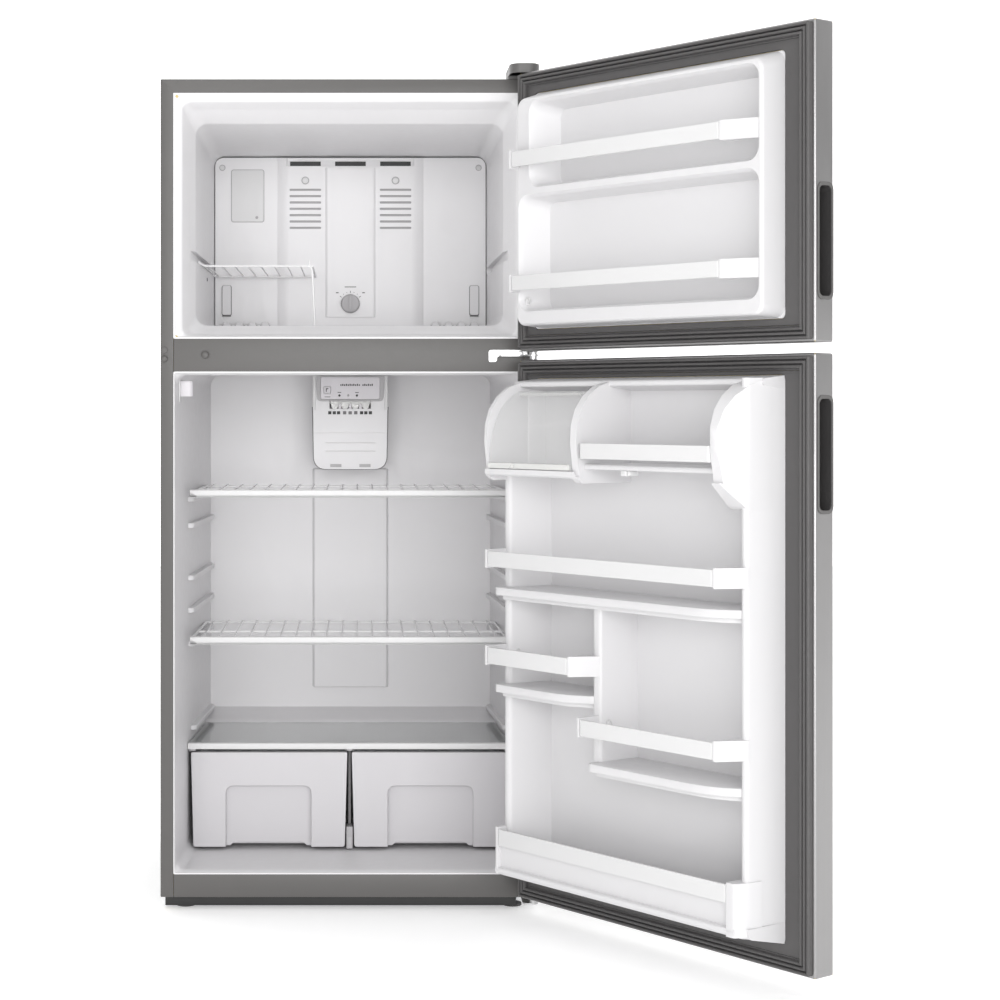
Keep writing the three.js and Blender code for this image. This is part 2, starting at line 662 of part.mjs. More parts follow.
function fridgeDoorLiner() {
  const [low, high] = FRIDGE_DOOR.liner;
  const parts = [
    slab(47, 689, GAP, 3, low, high),
    plan([[50, 1], [58, 93], [75, 93], [96, 2]], low + 14, 855),
    plan([[50, 1], [54, 40], [66, 40], [80, 2]], 850, high - 7),
    plan([[655, 2], [668, 93], [682, 93], [688, 1]], low + 14, high - 7),
    along([[1, high], [60, high - 7], [60, high - 17], [2, high - 25]], 50, 688),
    along([[1, low + 0.5], [100, 80], [116, 86], [116, 138], [110, 138], [106, 98], [2, 76]], 58, 676),
    ledge(60, 660, 636, 123),
    ledge(60, 300, 450, 123),
    ledge(317, 660, 332, 123),
    ledge(302, 672, 878, 123, 10),
    along([[2, 851], [139, 851], [143, 855], [143, 864], [140, 864], [138, 858], [2, 858]], 60, 306),
    plan([[300, 2], [305, 93], [326, 93], [331, 2]], 322, 630),
    fin(58, 66),
    fin(298, 314),
    fin(653, 668),
  ];
  for (const b of FRIDGE_RAILS) {
    if (b.name.endsWith("_top")) continue;
    parts.push(...barBlocks(b, b.name.endsWith("_left") ? 324 : 683));
  }
  return join(...parts);
}

// The clear, curved lid of the dairy space, closed; it turns on its upper edge.
function dairyLid() {
  const outer = new THREE.QuadraticBezierCurve(new THREE.Vector2(139, 866), new THREE.Vector2(136, 986), new THREE.Vector2(62, 1012));
  const points = outer.getPoints(7).map((q) => [q.x, q.y]);
  const inset = points.map(([p, z]) => [p - 2.6 * Math.cos((z - 866) / 190), z - 2.6 * Math.sin((z - 866) / 190)]);
  return along([...points, ...inset.reverse()], 67, 297);
}

// ---- Assembly ----
function addCabinet(parent) {
  add(parent, "cabinet_shell", cabinetShell(), paintedGray);
  add(parent, "mullion_rail", crossRail(MULLION.low, MULLION.high), paintedGray);
  add(parent, "bottom_rail", crossRail(0, RAIL_TOP), paintedGray);
  add(parent, "insulation", insulation(), foam);
  add(parent, "back_panel", block(-376.2, 376.2, 712.2, 713.6, MACHINE.top, 1637.4), galvanised);
  add(parent, "base_pan", basePan(), galvanised);
  add(parent, "rear_cover", rearCover(), galvanised);
  add(parent, "fridge_liner", fridgeLiner(), white);
  add(parent, "freezer_liner", freezerLiner(), white);
  for (const [name, x] of [["levelling_foot_left", -330], ["levelling_foot_right", 330]]) {
    add(parent, name, foot(), darkPlastic, [x, 45, 0]);
  }
  for (const [name, x] of [["rear_roller_left", -330], ["rear_roller_right", 330]]) {
    add(parent, name, roller(), darkPlastic, [x, 680, -11]);
  }
}

function addFreezerInside(parent) {
  const front = COVER.y - RAISED.depth;
  add(parent, "evaporator_cover", evaporatorCover(), white);
  add(parent, "freezer_control_knob", knob(), dialGray, [0, front, KNOB.z]);
  add(parent, "evaporator_coil", evaporatorCoil(), aluminium);
  add(parent, "evaporator_fan_motor", fanMotor(26, 30), black, [0, 622, 1435]);
  add(parent, "evaporator_fan_blade", fan(56, 14), panelGray, [0, 613, 1435]);
  const heater = [[-240, 629, 1190], [0, 629, 1184], [240, 629, 1190]];
  add(parent, "defrost_heater", bentTube(heater, 4, 6, 8), black);
  add(parent, "freezer_shelf", freezerShelf(), wireWhite);
}

function addFridgeInside(parent) {
  add(parent, "fridge_shelf_upper", wireShelf(SHELF_TOPS[0]), wireWhite);
  add(parent, "fridge_shelf_lower", wireShelf(SHELF_TOPS[1]), wireWhite);
  add(parent, "crisper_glass", crisperGlass(), glass);
  add(parent, "crisper_frame", crisperFrame(), wireWhite);
  add(parent, "crisper_support", crisperSupport(), panelGray);
  add(parent, "crisper_left", crisper(-1), drawerWhite);
  add(parent, "crisper_right", crisper(1), drawerWhite);
  add(parent, "control_box", controlBox(), white);
  add(parent, "control_panel", controlPanel(), panelGray);
  add(parent, "light_lens", lightLens(), clear);
  add(parent, "light_bulb", bulb(), clear, [0, 520, 990]);
  const button = block(-7.5, 7.5, -3, 9, -7.5, 7.5);
  add(parent, "setting_button", button, panelGray, [-51, CONTROL.front - 4, 1019.5]);
  const { y, low, high, deep } = SWITCH;
  const paddle = block(-345, -317, y - deep / 2, y + deep / 2, low, high);
  add(parent, "light_switch", paddle, panelGray);
}

function addMachineSpace(parent) {
  add(parent, "compressor", compressor(), black, [-200, 612, 12]);
  add(parent, "condenser_coil", condenserCoil(), copper, [58, 640, 56]);
  add(parent, "condenser_fan_motor", fanMotor(24, 34).rotateZ(Math.PI / 2), black, [-62, 612, 110]);
  add(parent, "condenser_fan_blade", fan(70, 16).rotateZ(Math.PI / 2), panelGray, [-48, 612, 110]);
  add(parent, "drain_pan", drainPan(), darkPlastic);
}

function addHinges(parent) {
  add(parent, "top_hinge", topHinge(), plated);
  add(parent, "top_hinge_cover", hingeCover(), darkPlastic);
  add(parent, "centre_hinge", centreHinge(), plated);
  add(parent, "bottom_hinge", bottomHinge(), plated);
}

// A door group stands at its pin and is turned open.
function doorGroup(parent) {
  const group = new THREE.Group();
  group.position.set(PIN.x, PIN.y, 0);
  group.rotation.z = THREE.MathUtils.degToRad(DOOR.openAngle);
  parent.add(group);
  return group;
}

function addDoor(parent, prefix, door, liner, bars) {
  const group = doorGroup(parent);
  add(group, prefix + "_skin", doorSkin(door), stainless);
  add(group, prefix + "_insulation", doorFoam(door), foam);
  add(group, prefix + "_liner", liner, white);
  add(group, prefix + "_gasket", doorGasket(door), gasketGray);
  add(group, prefix + "_pocket_handle", pocketHandle(door), darkPlastic);
  for (const b of bars) add(group, b.name, bar(b), wireWhite);
  return group;
}

const fridge = new THREE.Group();
const body = new THREE.Group();
body.position.z = FOOT;
fridge.add(body);
addCabinet(body);
addFreezerInside(body);
addFridgeInside(body);
addMachineSpace(body);
addHinges(body);
addDoor(body, "freezer_door", FREEZER_DOOR, freezerDoorLiner(), freezerBars());
const fridgeDoor = addDoor(body, "fridge_door", FRIDGE_DOOR, fridgeDoorLiner(), FRIDGE_RAILS);
add(fridgeDoor, "dairy_lid", dairyLid(), clear);

// The origin is the middle of the whole object's footprint, on the floor.
fridge.updateMatrixWorld(true);
const bounds = new THREE.Box3().setFromObject(fridge, true);
body.position.x = -(bounds.min.x + bounds.max.x) / 2;
body.position.y = -(bounds.min.y + bounds.max.y) / 2;
body.position.z = FOOT - bounds.min.z;

export default fridge;
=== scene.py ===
import json
import math

import bmesh
import bpy
from mathutils import Matrix, Vector


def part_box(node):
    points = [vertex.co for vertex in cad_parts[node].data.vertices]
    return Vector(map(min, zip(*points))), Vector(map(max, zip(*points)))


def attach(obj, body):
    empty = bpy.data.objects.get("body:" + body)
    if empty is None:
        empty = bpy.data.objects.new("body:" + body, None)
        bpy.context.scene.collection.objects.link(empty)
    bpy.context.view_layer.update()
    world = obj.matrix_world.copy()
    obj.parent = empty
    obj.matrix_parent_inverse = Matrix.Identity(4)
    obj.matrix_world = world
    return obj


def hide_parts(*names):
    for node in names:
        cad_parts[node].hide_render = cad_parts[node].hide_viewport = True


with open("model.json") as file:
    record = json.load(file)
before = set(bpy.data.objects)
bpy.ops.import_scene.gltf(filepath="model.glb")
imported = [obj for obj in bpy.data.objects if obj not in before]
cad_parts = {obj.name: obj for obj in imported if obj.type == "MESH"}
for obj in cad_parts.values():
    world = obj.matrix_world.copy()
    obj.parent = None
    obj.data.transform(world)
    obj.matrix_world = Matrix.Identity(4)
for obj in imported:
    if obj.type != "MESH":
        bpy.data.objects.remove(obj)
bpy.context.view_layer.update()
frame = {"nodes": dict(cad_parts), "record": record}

MM = 0.001

# ---- Spaces and driving dimensions, from the frame ----
SHELL_LOW, SHELL_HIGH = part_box("cabinet_shell")
HALF, DEPTH, HEIGHT = ((SHELL_HIGH - SHELL_LOW) / MM)[:]
HALF /= 2
CABINET = Matrix.Translation(
    ((SHELL_LOW.x + SHELL_HIGH.x) / 2, SHELL_LOW.y, SHELL_LOW.z)
) @ Matrix.Scale(MM, 4)
JOINTS = {j["name"]: j for j in frame["record"]["behaviour"]["joints"]}
PIN = Vector(JOINTS["freezer_door_hinge"]["pos_m"])
DOOR_ANGLE = math.radians(-JOINTS["freezer_door_hinge"]["range_deg"][0])
FROM_CLOSED = Matrix(((-1, 0, 0, 12), (0, 1, 0, 25), (0, 0, 1, 0), (0, 0, 0, 1)))
DOOR = (
    Matrix.Translation(
        (PIN.x, PIN.y, SHELL_LOW.z)
    ) @ Matrix.Rotation(DOOR_ANGLE, 4, "Z") @ Matrix.Scale(MM, 4) @ FROM_CLOSED
)
SHEET = 1.2
OPENING = HALF - 26
TOP_FLANGE = 28
MULLION = (1052.5, 1119.7)
RAIL_TOP = 46.7
WALL = 2.5
DOOR_WIDTH, DOOR_THICK = 752, 48
FREEZER_DOOR = dict(name="freezer_door", low=1092.7, high=1643.4, pocket=(1168, 1364), liner=(1135, 1597))
FRIDGE_DOOR = dict(name="fridge_door", low=9.5, high=1074.7, pocket=(802, 1000), liner=(57.6, 1037))


# ---- Mesh tools: each makes or takes a bmesh in millimetres ----
def mesh_of(points, faces):
    made = bmesh.new()
    verts = [made.verts.new(p) for p in points]
    for face in faces:
        made.faces.new([verts[i] for i in face])
    bmesh.ops.recalc_face_normals(made, faces=made.faces)
    return made


def skin(rings, ends=True):
    """Rings of equally many points joined into one body; without ends, the last ring meets the first."""
    n, m = len(rings[0]), len(rings)
    faces = [list(range(n)), list(range((m - 1) * n, m * n))] if ends else []
    for k in range(m - 1 if ends else m):
        a, b = k * n, (k + 1) % m * n
        faces += [[a + i, a + (i + 1) % n, b + (i + 1) % n, b + i] for i in range(n)]
    return mesh_of([p for ring in rings for p in ring], faces)


def rounded(made, r, segments=3):
    """Every edge of it rounded by r."""
    if r:
        bmesh.ops.bevel(
            made, geom=made.edges[:], offset=r, segments=segments, profile=0.5, affect="EDGES",
            clamp_overlap=True,
        )
    return made


def prism(outline, axis, a, b, r=0, segments=3):
    """An outline pushed along x, y or z from a to b; its two coordinates are the other axes in order."""
    place = {
        "x": lambda s, t, h: (h, s, t), "y": lambda s, t, h: (s, h, t), "z": lambda s, t, h: (s, t, h)
    }[axis]
    return rounded(skin([[place(s, t, h) for s, t in outline] for h in (a, b)]), r, segments)


def block(x0, x1, y0, y1, z0, z1, r=0, segments=3):
    return prism([(x0, y0), (x1, y0), (x1, y1), (x0, y1)], "z", z0, z1, r, segments)


def soft(points, r, steps=5):
    """A closed outline with its corners rounded; r is one radius or one for each corner."""
    made = []
    n = len(points)
    radii = r if isinstance(r, (list, tuple)) else [r] * n
    for i, point in enumerate(points):
        corner = Vector(point)
        before, after = Vector(points[i - 1]), Vector(points[(i + 1) % n])
        if not radii[i]:
            made.append(tuple(corner))
            continue
        reach = [min(radii[i], 0.49 * (other - corner).length) for other in (before, after)]
        a = corner + (before - corner).normalized() * reach[0]
        b = corner + (after - corner).normalized() * reach[1]
        for k in range(steps + 1):
            s = k / steps
            made.append(tuple(a * (1 - s) ** 2 + corner * 2 * s * (1 - s) + b * s * s))
    return made


def shaped(points, r, axis, a, b, edge=0):
    """A soft outline pushed along an axis, its own edges rounded by edge."""
    return prism(soft(points, r), axis, a, b, edge)


def rect(s0, s1, t0, t1, r=0, steps=6):
    """A rectangle with round corners, as an outline."""
    corners = [(s1 - r, t0 + r, -90), (s1 - r, t1 - r, 0), (s0 + r, t1 - r, 90), (s0 + r, t0 + r, 180)]
    made = []
    for s, t, start in corners:
        for k in range(steps + 1 if r else 1):
            angle = math.radians(start + 90 * k / steps)
            made.append((s + r * math.cos(angle), t + r * math.sin(angle)))
    return made


def loft(sections, steps=10):
    """Rounded rectangles (y, x0, x1, z0, z1, r) skinned into a closed body."""
    return skin([[(s, y, t) for s, t in rect(x0, x1, z0, z1, r, steps)] for y, x0, x1, z0, z1, r in sections])


def eased(sections, reach=14, steps=4):
    """The sections with rounded changes of slope between them."""
    rows = [list(s) for s in sections]
    made = [rows[0]]
    mix = lambda a, b, s: [p + (q - p) * s for p, q in zip(a, b)]
    for before, here, after in zip(rows, rows[1:], rows[2:]):
        gap = [max(1e-6, math.hypot(other[0] - here[0], other[1] - here[1])) for other in (before, after)]
        a = mix(here, before, min(0.45, reach / gap[0]))
        b = mix(here, after, min(0.45, reach / gap[1]))
        for k in range(steps + 1):
            s = k / steps
            made.append(mix(mix(a, here, s), mix(here, b, s), s))
    return made + [rows[-1]]


def band(profile, x0, x1, z0, z1, r, steps=6):
    """A closed profile of [inset, p] swept round a rounded rectangle in u and z."""
    rings = []
    for inset, p in profile:
        around = rect(x0 + inset, x1 - inset, z0 + inset, z1 - inset, max(0.5, r - inset), steps)
        rings.append([(s, p, t) for s, t in around])
    return skin(rings, False)


def sweep(path, r, sides=10):
    """A round wire along a path of points, with closed ends."""
    path = [Vector(p) for p in path]
    ways = [(b - a).normalized() for a, b in zip(path, path[1:])]
    ways = [ways[0]] + [(a + b).normalized() for a, b in zip(ways, ways[1:])] + [ways[-1]]
    across = ways[0].orthogonal().normalized()
    rings = []
    for point, way in zip(path, ways):
        across = (across - way * across.dot(way)).normalized()
        other = way.cross(across)
        turns = [2 * math.pi * i / sides for i in range(sides)]
        rings.append([point + r * (math.cos(turn) * across + math.sin(turn) * other) for turn in turns])
    return skin(rings)


def bent(points, r, steps=4):
    """An open path with rounded corners."""
    path = [Vector(p) for p in points]
    made = [path[0]]
    for before, here, after in zip(path, path[1:], path[2:]):
        a = here + (before - here).normalized() * min(r, (before - here).length / 2)
        b = here + (after - here).normalized() * min(r, (after - here).length / 2)
        made += [
            a * (1 - s) ** 2 + here * 2 * s * (1 - s) + b * s * s
            for s in (k / steps for k in range(steps + 1))
        ]
    return made + [path[-1]]


def turned(profile, centre, axis="y", sides=32):
    """A profile of [radius, height] turned round an axis through centre; both ends are closed."""
    place = {
        "x": lambda a, b, h: (h, a, b), "y": lambda a, b, h: (a, h, b), "z": lambda a, b, h: (a, b, h)
    }[axis]
    turns = [2 * math.pi * i / sides for i in range(sides)]
    spot = lambda radius, height, turn: Vector(
        place(radius * math.cos(turn), radius * math.sin(turn), height)
    )
    return skin(
        [[Vector(centre) + spot(radius, height, turn) for turn in turns] for radius, height in profile]
    )


def joined(*parts):
    """Several bodies as one mesh, without a boolean."""
    whole = bmesh.new()
    for part in parts:
        mesh = bpy.data.meshes.new("part")
        part.to_mesh(mesh)
        whole.from_mesh(mesh)
        bpy.data.meshes.remove(mesh)
        part.free()
    return whole


def as_object(made, name="tool"):
    mesh = bpy.data.meshes.new(name)
    made.to_mesh(mesh)
    made.free()
    thing = bpy.data.objects.new(name, mesh)
    bpy.context.scene.collection.objects.link(thing)
    return thing


def boolean(body, tools, operation):
    """body with each tool cut away from it or joined to it."""
    for tool in tools:
        base, other = as_object(body), as_object(tool)
        step = base.modifiers.new("boolean", "BOOLEAN")
        step.operation = operation
        step.solver = "EXACT"
        step.object = other
        graph = bpy.context.evaluated_depsgraph_get()
        body = bmesh.new()
        body.from_mesh(base.evaluated_get(graph).to_mesh())
        base.evaluated_get(graph).to_mesh_clear()
        for thing in (base, other):
            mesh = thing.data
            bpy.data.objects.remove(thing)
            bpy.data.meshes.remove(mesh)
    return body


def cut(body, *tools):
    return boolean(body, tools, "DIFFERENCE")


def fused(body, *tools):
    return boolean(body, tools, "UNION")


def span(side, a, b):
    """The stretch from a to b on one side of the centre line, low end first."""
    return sorted((side * a, side * b))


def mirrored(made):
    """A copy on the other side of the cabinet."""
    other = made.copy()
    bmesh.ops.scale(other, vec=(-1, 1, 1), verts=other.verts)
    bmesh.ops.reverse_faces(other, faces=other.faces)
    return other


def piece(name, parts, space, body, look, replaces=(), bevel=0.0, angle=30):
    """One finished piece: placed, shaded, given its material, and riding on its body."""
    made = joined(*parts) if isinstance(parts, (list, tuple)) else parts
    bmesh.ops.transform(made, matrix=space, verts=made.verts)
    if space.determinant() < 0:
        bmesh.ops.reverse_faces(made, faces=made.faces)
    thing = as_object(made, name)
    thing.data.materials.append(look)
    thing.data.polygons.foreach_set("use_smooth", [True] * len(thing.data.polygons))
    if bevel:
        edge = thing.modifiers.new("edges", "BEVEL")
        edge.width = bevel * MM
        edge.segments = 2
        edge.limit_method = "ANGLE"
        edge.angle_limit = math.radians(angle)
        edge.harden_normals = True
    else:
        thing.data.set_sharp_from_angle(angle=math.radians(angle))
    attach(thing, body)
    if replaces:
        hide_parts(*([replaces] if isinstance(replaces, str) else replaces))
    return thing


def fixed(name, parts, look, replaces=(), bevel=0.0, angle=30):
    """A piece of the cabinet itself."""
    return piece(name, parts, CABINET, "cabinet", look, replaces, bevel, angle)


# ---- Materials ----
class Nodes:
    """A material's node tree, with short ways to add nodes to it."""

    def __init__(self, name):
        self.material = bpy.data.materials.new(name)
        self.material.use_nodes = True
        self.tree = self.material.node_tree
        self.shader = self.tree.nodes["Principled BSDF"]
        self.place = self.tree.nodes.new("ShaderNodeTexCoord").outputs["Object"]

    def link(self, a, b):
        self.tree.links.new(a, b)

    def stretched(self, scale):
        node = self.tree.nodes.new("ShaderNodeMapping")
        node.inputs["Scale"].default_value = scale
        self.link(self.place, node.inputs["Vector"])
        return node.outputs[0]

    def noise(self, scale, detail=2, where=None):
        node = self.tree.nodes.new("ShaderNodeTexNoise")
        node.inputs["Scale"].default_value = scale
        node.inputs["Detail"].default_value = detail
        self.link(where or self.place, node.inputs["Vector"])
        return node.outputs["Fac"]

    def cells(self, scale):
        node = self.tree.nodes.new("ShaderNodeTexVoronoi")
        node.inputs["Scale"].default_value = scale
        self.link(self.place, node.inputs["Vector"])
        return node.outputs["Distance"]

    def spread(self, value, low, high, start=0.3, end=0.7):
        node = self.tree.nodes.new("ShaderNodeMapRange")
        for key, number in (("From Min", start), ("From Max", end), ("To Min", low), ("To Max", high)):
            node.inputs[key].default_value = number
        self.link(value, node.inputs["Value"])
        return node.outputs[0]

    def between(self, value, first, second):
        node = self.tree.nodes.new("ShaderNodeMix")
        node.data_type = "RGBA"
        node.inputs["A"].default_value = (*first, 1)
        node.inputs["B"].default_value = (*second, 1)
        self.link(value, node.inputs["Factor"])
        return node.outputs["Result"]

    def bump(self, height, strength, distance, below=None):
        node = self.tree.nodes.new("ShaderNodeBump")
        node.inputs["Strength"].default_value = strength
        node.inputs["Distance"].default_value = distance
        self.link(height, node.inputs["Height"])
        if below:
            self.link(below, node.inputs["Normal"])
        self.link(node.outputs[0], self.shader.inputs["Normal"])
        return node.outputs[0]

    def colour(self, value):
        self.link(value, self.shader.inputs["Base Color"])

    def gloss(self, value):
        self.link(value, self.shader.inputs["Roughness"])

    def set(self, **values):
        for key, value in values.items():
            self.shader.inputs[key.replace("_", " ")].default_value = value
        return self


def shade(colour, by):
    return tuple(min(1.0, c * by) for c in colour)


def plastic(name, colour, roughness, grain=900, depth=0.00002, mottle=0.03, **values):
    """Moulded plastic: a fine grain, faint flow marks in its colour and a gloss that varies."""
    nodes = Nodes(name).set(**values)
    flow = nodes.noise(2.5, 1)
    nodes.colour(nodes.between(flow, shade(colour, 1 - mottle), shade(colour, 1 + mottle)))
    nodes.gloss(nodes.spread(nodes.noise(60), roughness - 0.05, roughness + 0.06))
    soft_waves = nodes.bump(nodes.noise(9, 1), 0.1, 0.0004)
    nodes.bump(nodes.noise(grain), 0.5, depth, soft_waves)
    return nodes.material


def painted(name, colour, roughness=0.42, grain=1100, depth=0.00006):
    """Textured paint on sheet metal."""
    nodes = Nodes(name).set(Metallic=0.0, Specular_IOR_Level=0.5)
    nodes.colour(nodes.between(nodes.noise(5, 4), shade(colour, 0.95), shade(colour, 1.05)))
    nodes.gloss(nodes.spread(nodes.noise(300), roughness - 0.06, roughness + 0.08))
    nodes.bump(nodes.noise(grain, 3), 0.5, depth)
    return nodes.material


def brushed(name, colour, roughness=0.3, scale=(700, 700, 6), wear=0.06, depth=0.00003):
    """Steel with a fine grain along one axis."""
    nodes = Nodes(name).set(Metallic=1.0)
    lines = nodes.noise(1, 4, nodes.stretched(scale))
    cloud = nodes.noise(4, 3)
    nodes.colour(nodes.between(lines, shade(colour, 1 - wear), shade(colour, 1 + wear)))
    both = nodes.tree.nodes.new("ShaderNodeMath")
    both.operation = "MULTIPLY"
    nodes.link(nodes.spread(lines, 0.85, 1.2), both.inputs[0])
    nodes.link(nodes.spread(cloud, roughness * 0.9, roughness * 1.15), both.inputs[1])
    nodes.gloss(both.outputs[0])
    nodes.bump(lines, 0.35, depth)
    return nodes.material


def galvanised(name):
    nodes = Nodes(name).set(Metallic=0.9)
    distance = nodes.cells(90)
    nodes.colour(nodes.between(nodes.spread(distance, 0, 1, 0, 0.6), (0.38, 0.39, 0.41), (0.52, 0.53, 0.55)))
    nodes.gloss(nodes.spread(distance, 0.32, 0.5, 0, 0.6))
    nodes.bump(distance, 0.2, 0.00005)
    return nodes.material


def porous(name, colour):
    nodes = Nodes(name).set(Roughness=0.95)
    distance = nodes.cells(420)
    nodes.colour(nodes.between(distance, shade(colour, 0.75), shade(colour, 1.1)))
    nodes.bump(distance, 0.8, 0.0006)
    return nodes.material


def see_through(name, colour, roughness, transmission, grain=300):
    nodes = Nodes(name).set(IOR=1.48, Transmission_Weight=transmission)
    nodes.colour(nodes.between(nodes.noise(8, 2), shade(colour, 0.97), colour))
    nodes.gloss(nodes.spread(nodes.noise(40), roughness * 0.7, roughness * 1.3))
    nodes.bump(nodes.noise(grain), 0.15, 0.00004)
    return nodes.material


PAINT = painted("cabinet_paint", (0.099, 0.095, 0.092))
PLUG = painted("plug_paint", (0.086, 0.082, 0.079))
STEEL = brushed("door_steel", (0.37, 0.364, 0.364), 0.36)
ZINC = galvanised("zinc_sheet")
PLATED = brushed("plated_steel", (0.60, 0.60, 0.60), 0.3, (300, 300, 300), 0.04)
# The freezer lining and the door linings are the same white plastic as the fresh food lining. The freezer copy
# is painted lighter, as painted light for its deeper cavity. The door copy is painted darker, as painted shade
# where the lamps reach the doors more.
LINER = plastic("liner_white", (0.72, 0.712, 0.722), 0.4)
LINER_WHITE_BRIGHTENED = plastic("liner_white_painted_lighter", (0.80, 0.793, 0.802), 0.4)
LINER_WHITE_DARKENED = plastic("liner_white_painted_darker", (0.665, 0.659, 0.668), 0.4)
WIRE = plastic("wire_white", (0.77, 0.765, 0.77), 0.32, 1500, 0.00001, 0.01)
TRIM = plastic("trim_white", (0.665, 0.663, 0.665), 0.34)
DRAWER = plastic("drawer_white", (0.575, 0.563, 0.58), 0.36, 1400, 0.00003, 0.015)
GLASS = see_through("shelf_glass", (0.93, 0.955, 0.95), 0.1, 0.8)
CLEAR = see_through("clear_plastic", (0.9, 0.9, 0.9), 0.06, 0.0)
CLEAR.node_tree.nodes["Principled BSDF"].inputs["Alpha"].default_value = 0.22
LENS = see_through("lens_plastic", (0.97, 0.97, 0.95), 0.35, 0.4)
GASKET = plastic("gasket", (0.082, 0.079, 0.079), 0.5, 1200, 0.00005, 0.04)
DARK = plastic("dark_plastic", (0.045, 0.043, 0.043), 0.5, 1300, 0.00006, 0.05)
BEZEL = plastic("bezel_plastic", (0.11, 0.107, 0.105), 0.4, 1300, 0.00005, 0.04)
# Gray plastic for real gray parts. It is also used as painted shade behind the vents, round the cover's screw
# heads, round the access plate and at the control box's feet.
GRAY_PLASTIC_AND_SHADE = plastic("gray_plastic", (0.42, 0.41, 0.42), 0.45, 1300, 0.00004, 0.03)
SHADOW = plastic("shadow_gap", (0.20, 0.195, 0.20), 0.6, 1300, 0.00004, 0.03)
PANEL = plastic("panel_plastic", (0.66, 0.64, 0.665), 0.4, 1300, 0.00004, 0.02)
PRINT = plastic("printed_mark", (0.05, 0.05, 0.05), 0.6, 1300, 0.00001, 0.05)
# Black paint for the motors, heater and compressor. It is also used as painted shadow under the cabinet and as
# painted shade inside slots.
BLACK_PAINT_AND_SHADE = plastic("black_paint_and_painted_shade", (0.015, 0.015, 0.015), 0.45, 900, 0.00005, 0.06)
ALUMINIUM = brushed("coil_aluminium", (0.62, 0.63, 0.65), 0.35, (400, 400, 400), 0.05)
COPPER = painted("coil_tube", (0.09, 0.04, 0.025), 0.4)
FOAM = porous("rigid_foam", (0.68, 0.55, 0.26))
BULB = see_through("bulb_glass", (0.97, 0.96, 0.93), 0.4, 0.6)


# ---- Cabinet ----
def button(x, y, z, r, high, name, look):
    """A shallow domed head on a front face."""
    dome = [(r, 0.3), (r, -high * 0.35), (r * 0.93, -high * 0.7), (r * 0.75, -high * 0.92), (r * 0.3, -high)]
    return fixed(name, turned(dome, (x, y, z)), look)


def cabinet_body():
    inner = block(SHEET - HALF, HALF - SHEET, SHEET, DEPTH + 5, -5, HEIGHT - SHEET)
    opening = block(-OPENING, OPENING, -5, 3, -5, HEIGHT - TOP_FLANGE)
    seams = []
    for side in (-1, 1):
        a = (side * (HALF - 1), HEIGHT - 1)
        b = (side * OPENING, HEIGHT - TOP_FLANGE)
        seams.append(prism([a, (a[0], a[1] - 0.9), (b[0], b[1] - 0.4), (b[0], b[1] + 0.5)], "y", -1, 0.7))
    shell = cut(block(-HALF, HALF, 0, DEPTH, 0, HEIGHT, 2.2), inner, opening, *seams)
    fixed("wrapper", shell, PAINT, "cabinet_shell", 0.3)
    for name, low, high in (("mullion", *MULLION), ("bottom", 0, RAIL_TOP)):
        half = OPENING - 0.3
        rail = cut(
            block(-half, half, 0.05, 18, low, high, 1.6),
            block(-half - 1, half + 1, SHEET + 0.1, 19, low + SHEET, high - SHEET),
        )
        fixed(name + "_front", rail, PAINT, name + "_rail", 0.2)
    floor_gap = 4
    floor = floor_gap - SHELL_LOW.z / MM
    # A near-black skirt set back under the cabinet, reaching to just above the floor: painted shadow under the
    # cabinet.
    skirt = shaped([(20, floor), (30, floor), (30, -0.4), (20, -0.4)], 1.5, "x", 8 - HALF, 336)
    fixed("base_shadow_skirt", skirt, BLACK_PAINT_AND_SHADE)
    # The first plug lies under the closed freezer door's seal, so it is nearly flush.
    for i, (x, z, r, high) in enumerate(
        [(-370.2, 1096, 7.2, 1.2), (-370.2, 1078.4, 7.2, 4), (-288.4, 1086.6, 8, 4)]
    ):
        button(x, 0, z, r, high, "hole_plug_%d" % (i + 1), PLUG)


def sections_of(rows, grow=0.0, front=None):
    made = [
        [y, -half - grow, half + grow, low - grow, high + grow, r + grow] for y, half, low, high, r in rows
    ]
    made[-1][0] += grow
    if front is not None:
        made = [[front] + made[0][1:]] + made
    return made


FREEZER_ROWS = [
    (0.15, 350, 1121.5, 1609.6, 1.5), (12, 335, 1125, 1595, 16), (48, 327.5, 1129, 1585, 20),
    (102, 315, 1149, 1562, 24), (655, 311, 1151, 1554, 24),
]
GROOVE = (60, 594, 1280, 1300)


def freezer_liner():
    outer = loft(eased(sections_of(FREEZER_ROWS, WALL), 5))
    inner = loft(eased(sections_of(FREEZER_ROWS, 0, -4), 5))
    front, back, low, high = GROOVE
    boxes = [
        block(*span(side, 305, (323 + WALL)), front - WALL, back + WALL, low - WALL, high + WALL)
        for side in (-1, 1)
    ]
    grooves = [prism(rect(front, back, low, high, 8), "x", *span(side, 300, 323)) for side in (-1, 1)]
    liner = cut(fused(outer, *boxes), inner, *grooves)
    fixed("freezer_lining", liner, LINER_WHITE_BRIGHTENED, "freezer_liner")


COVER = dict(y=598, half=310.5, low=1151.5, high=1553)


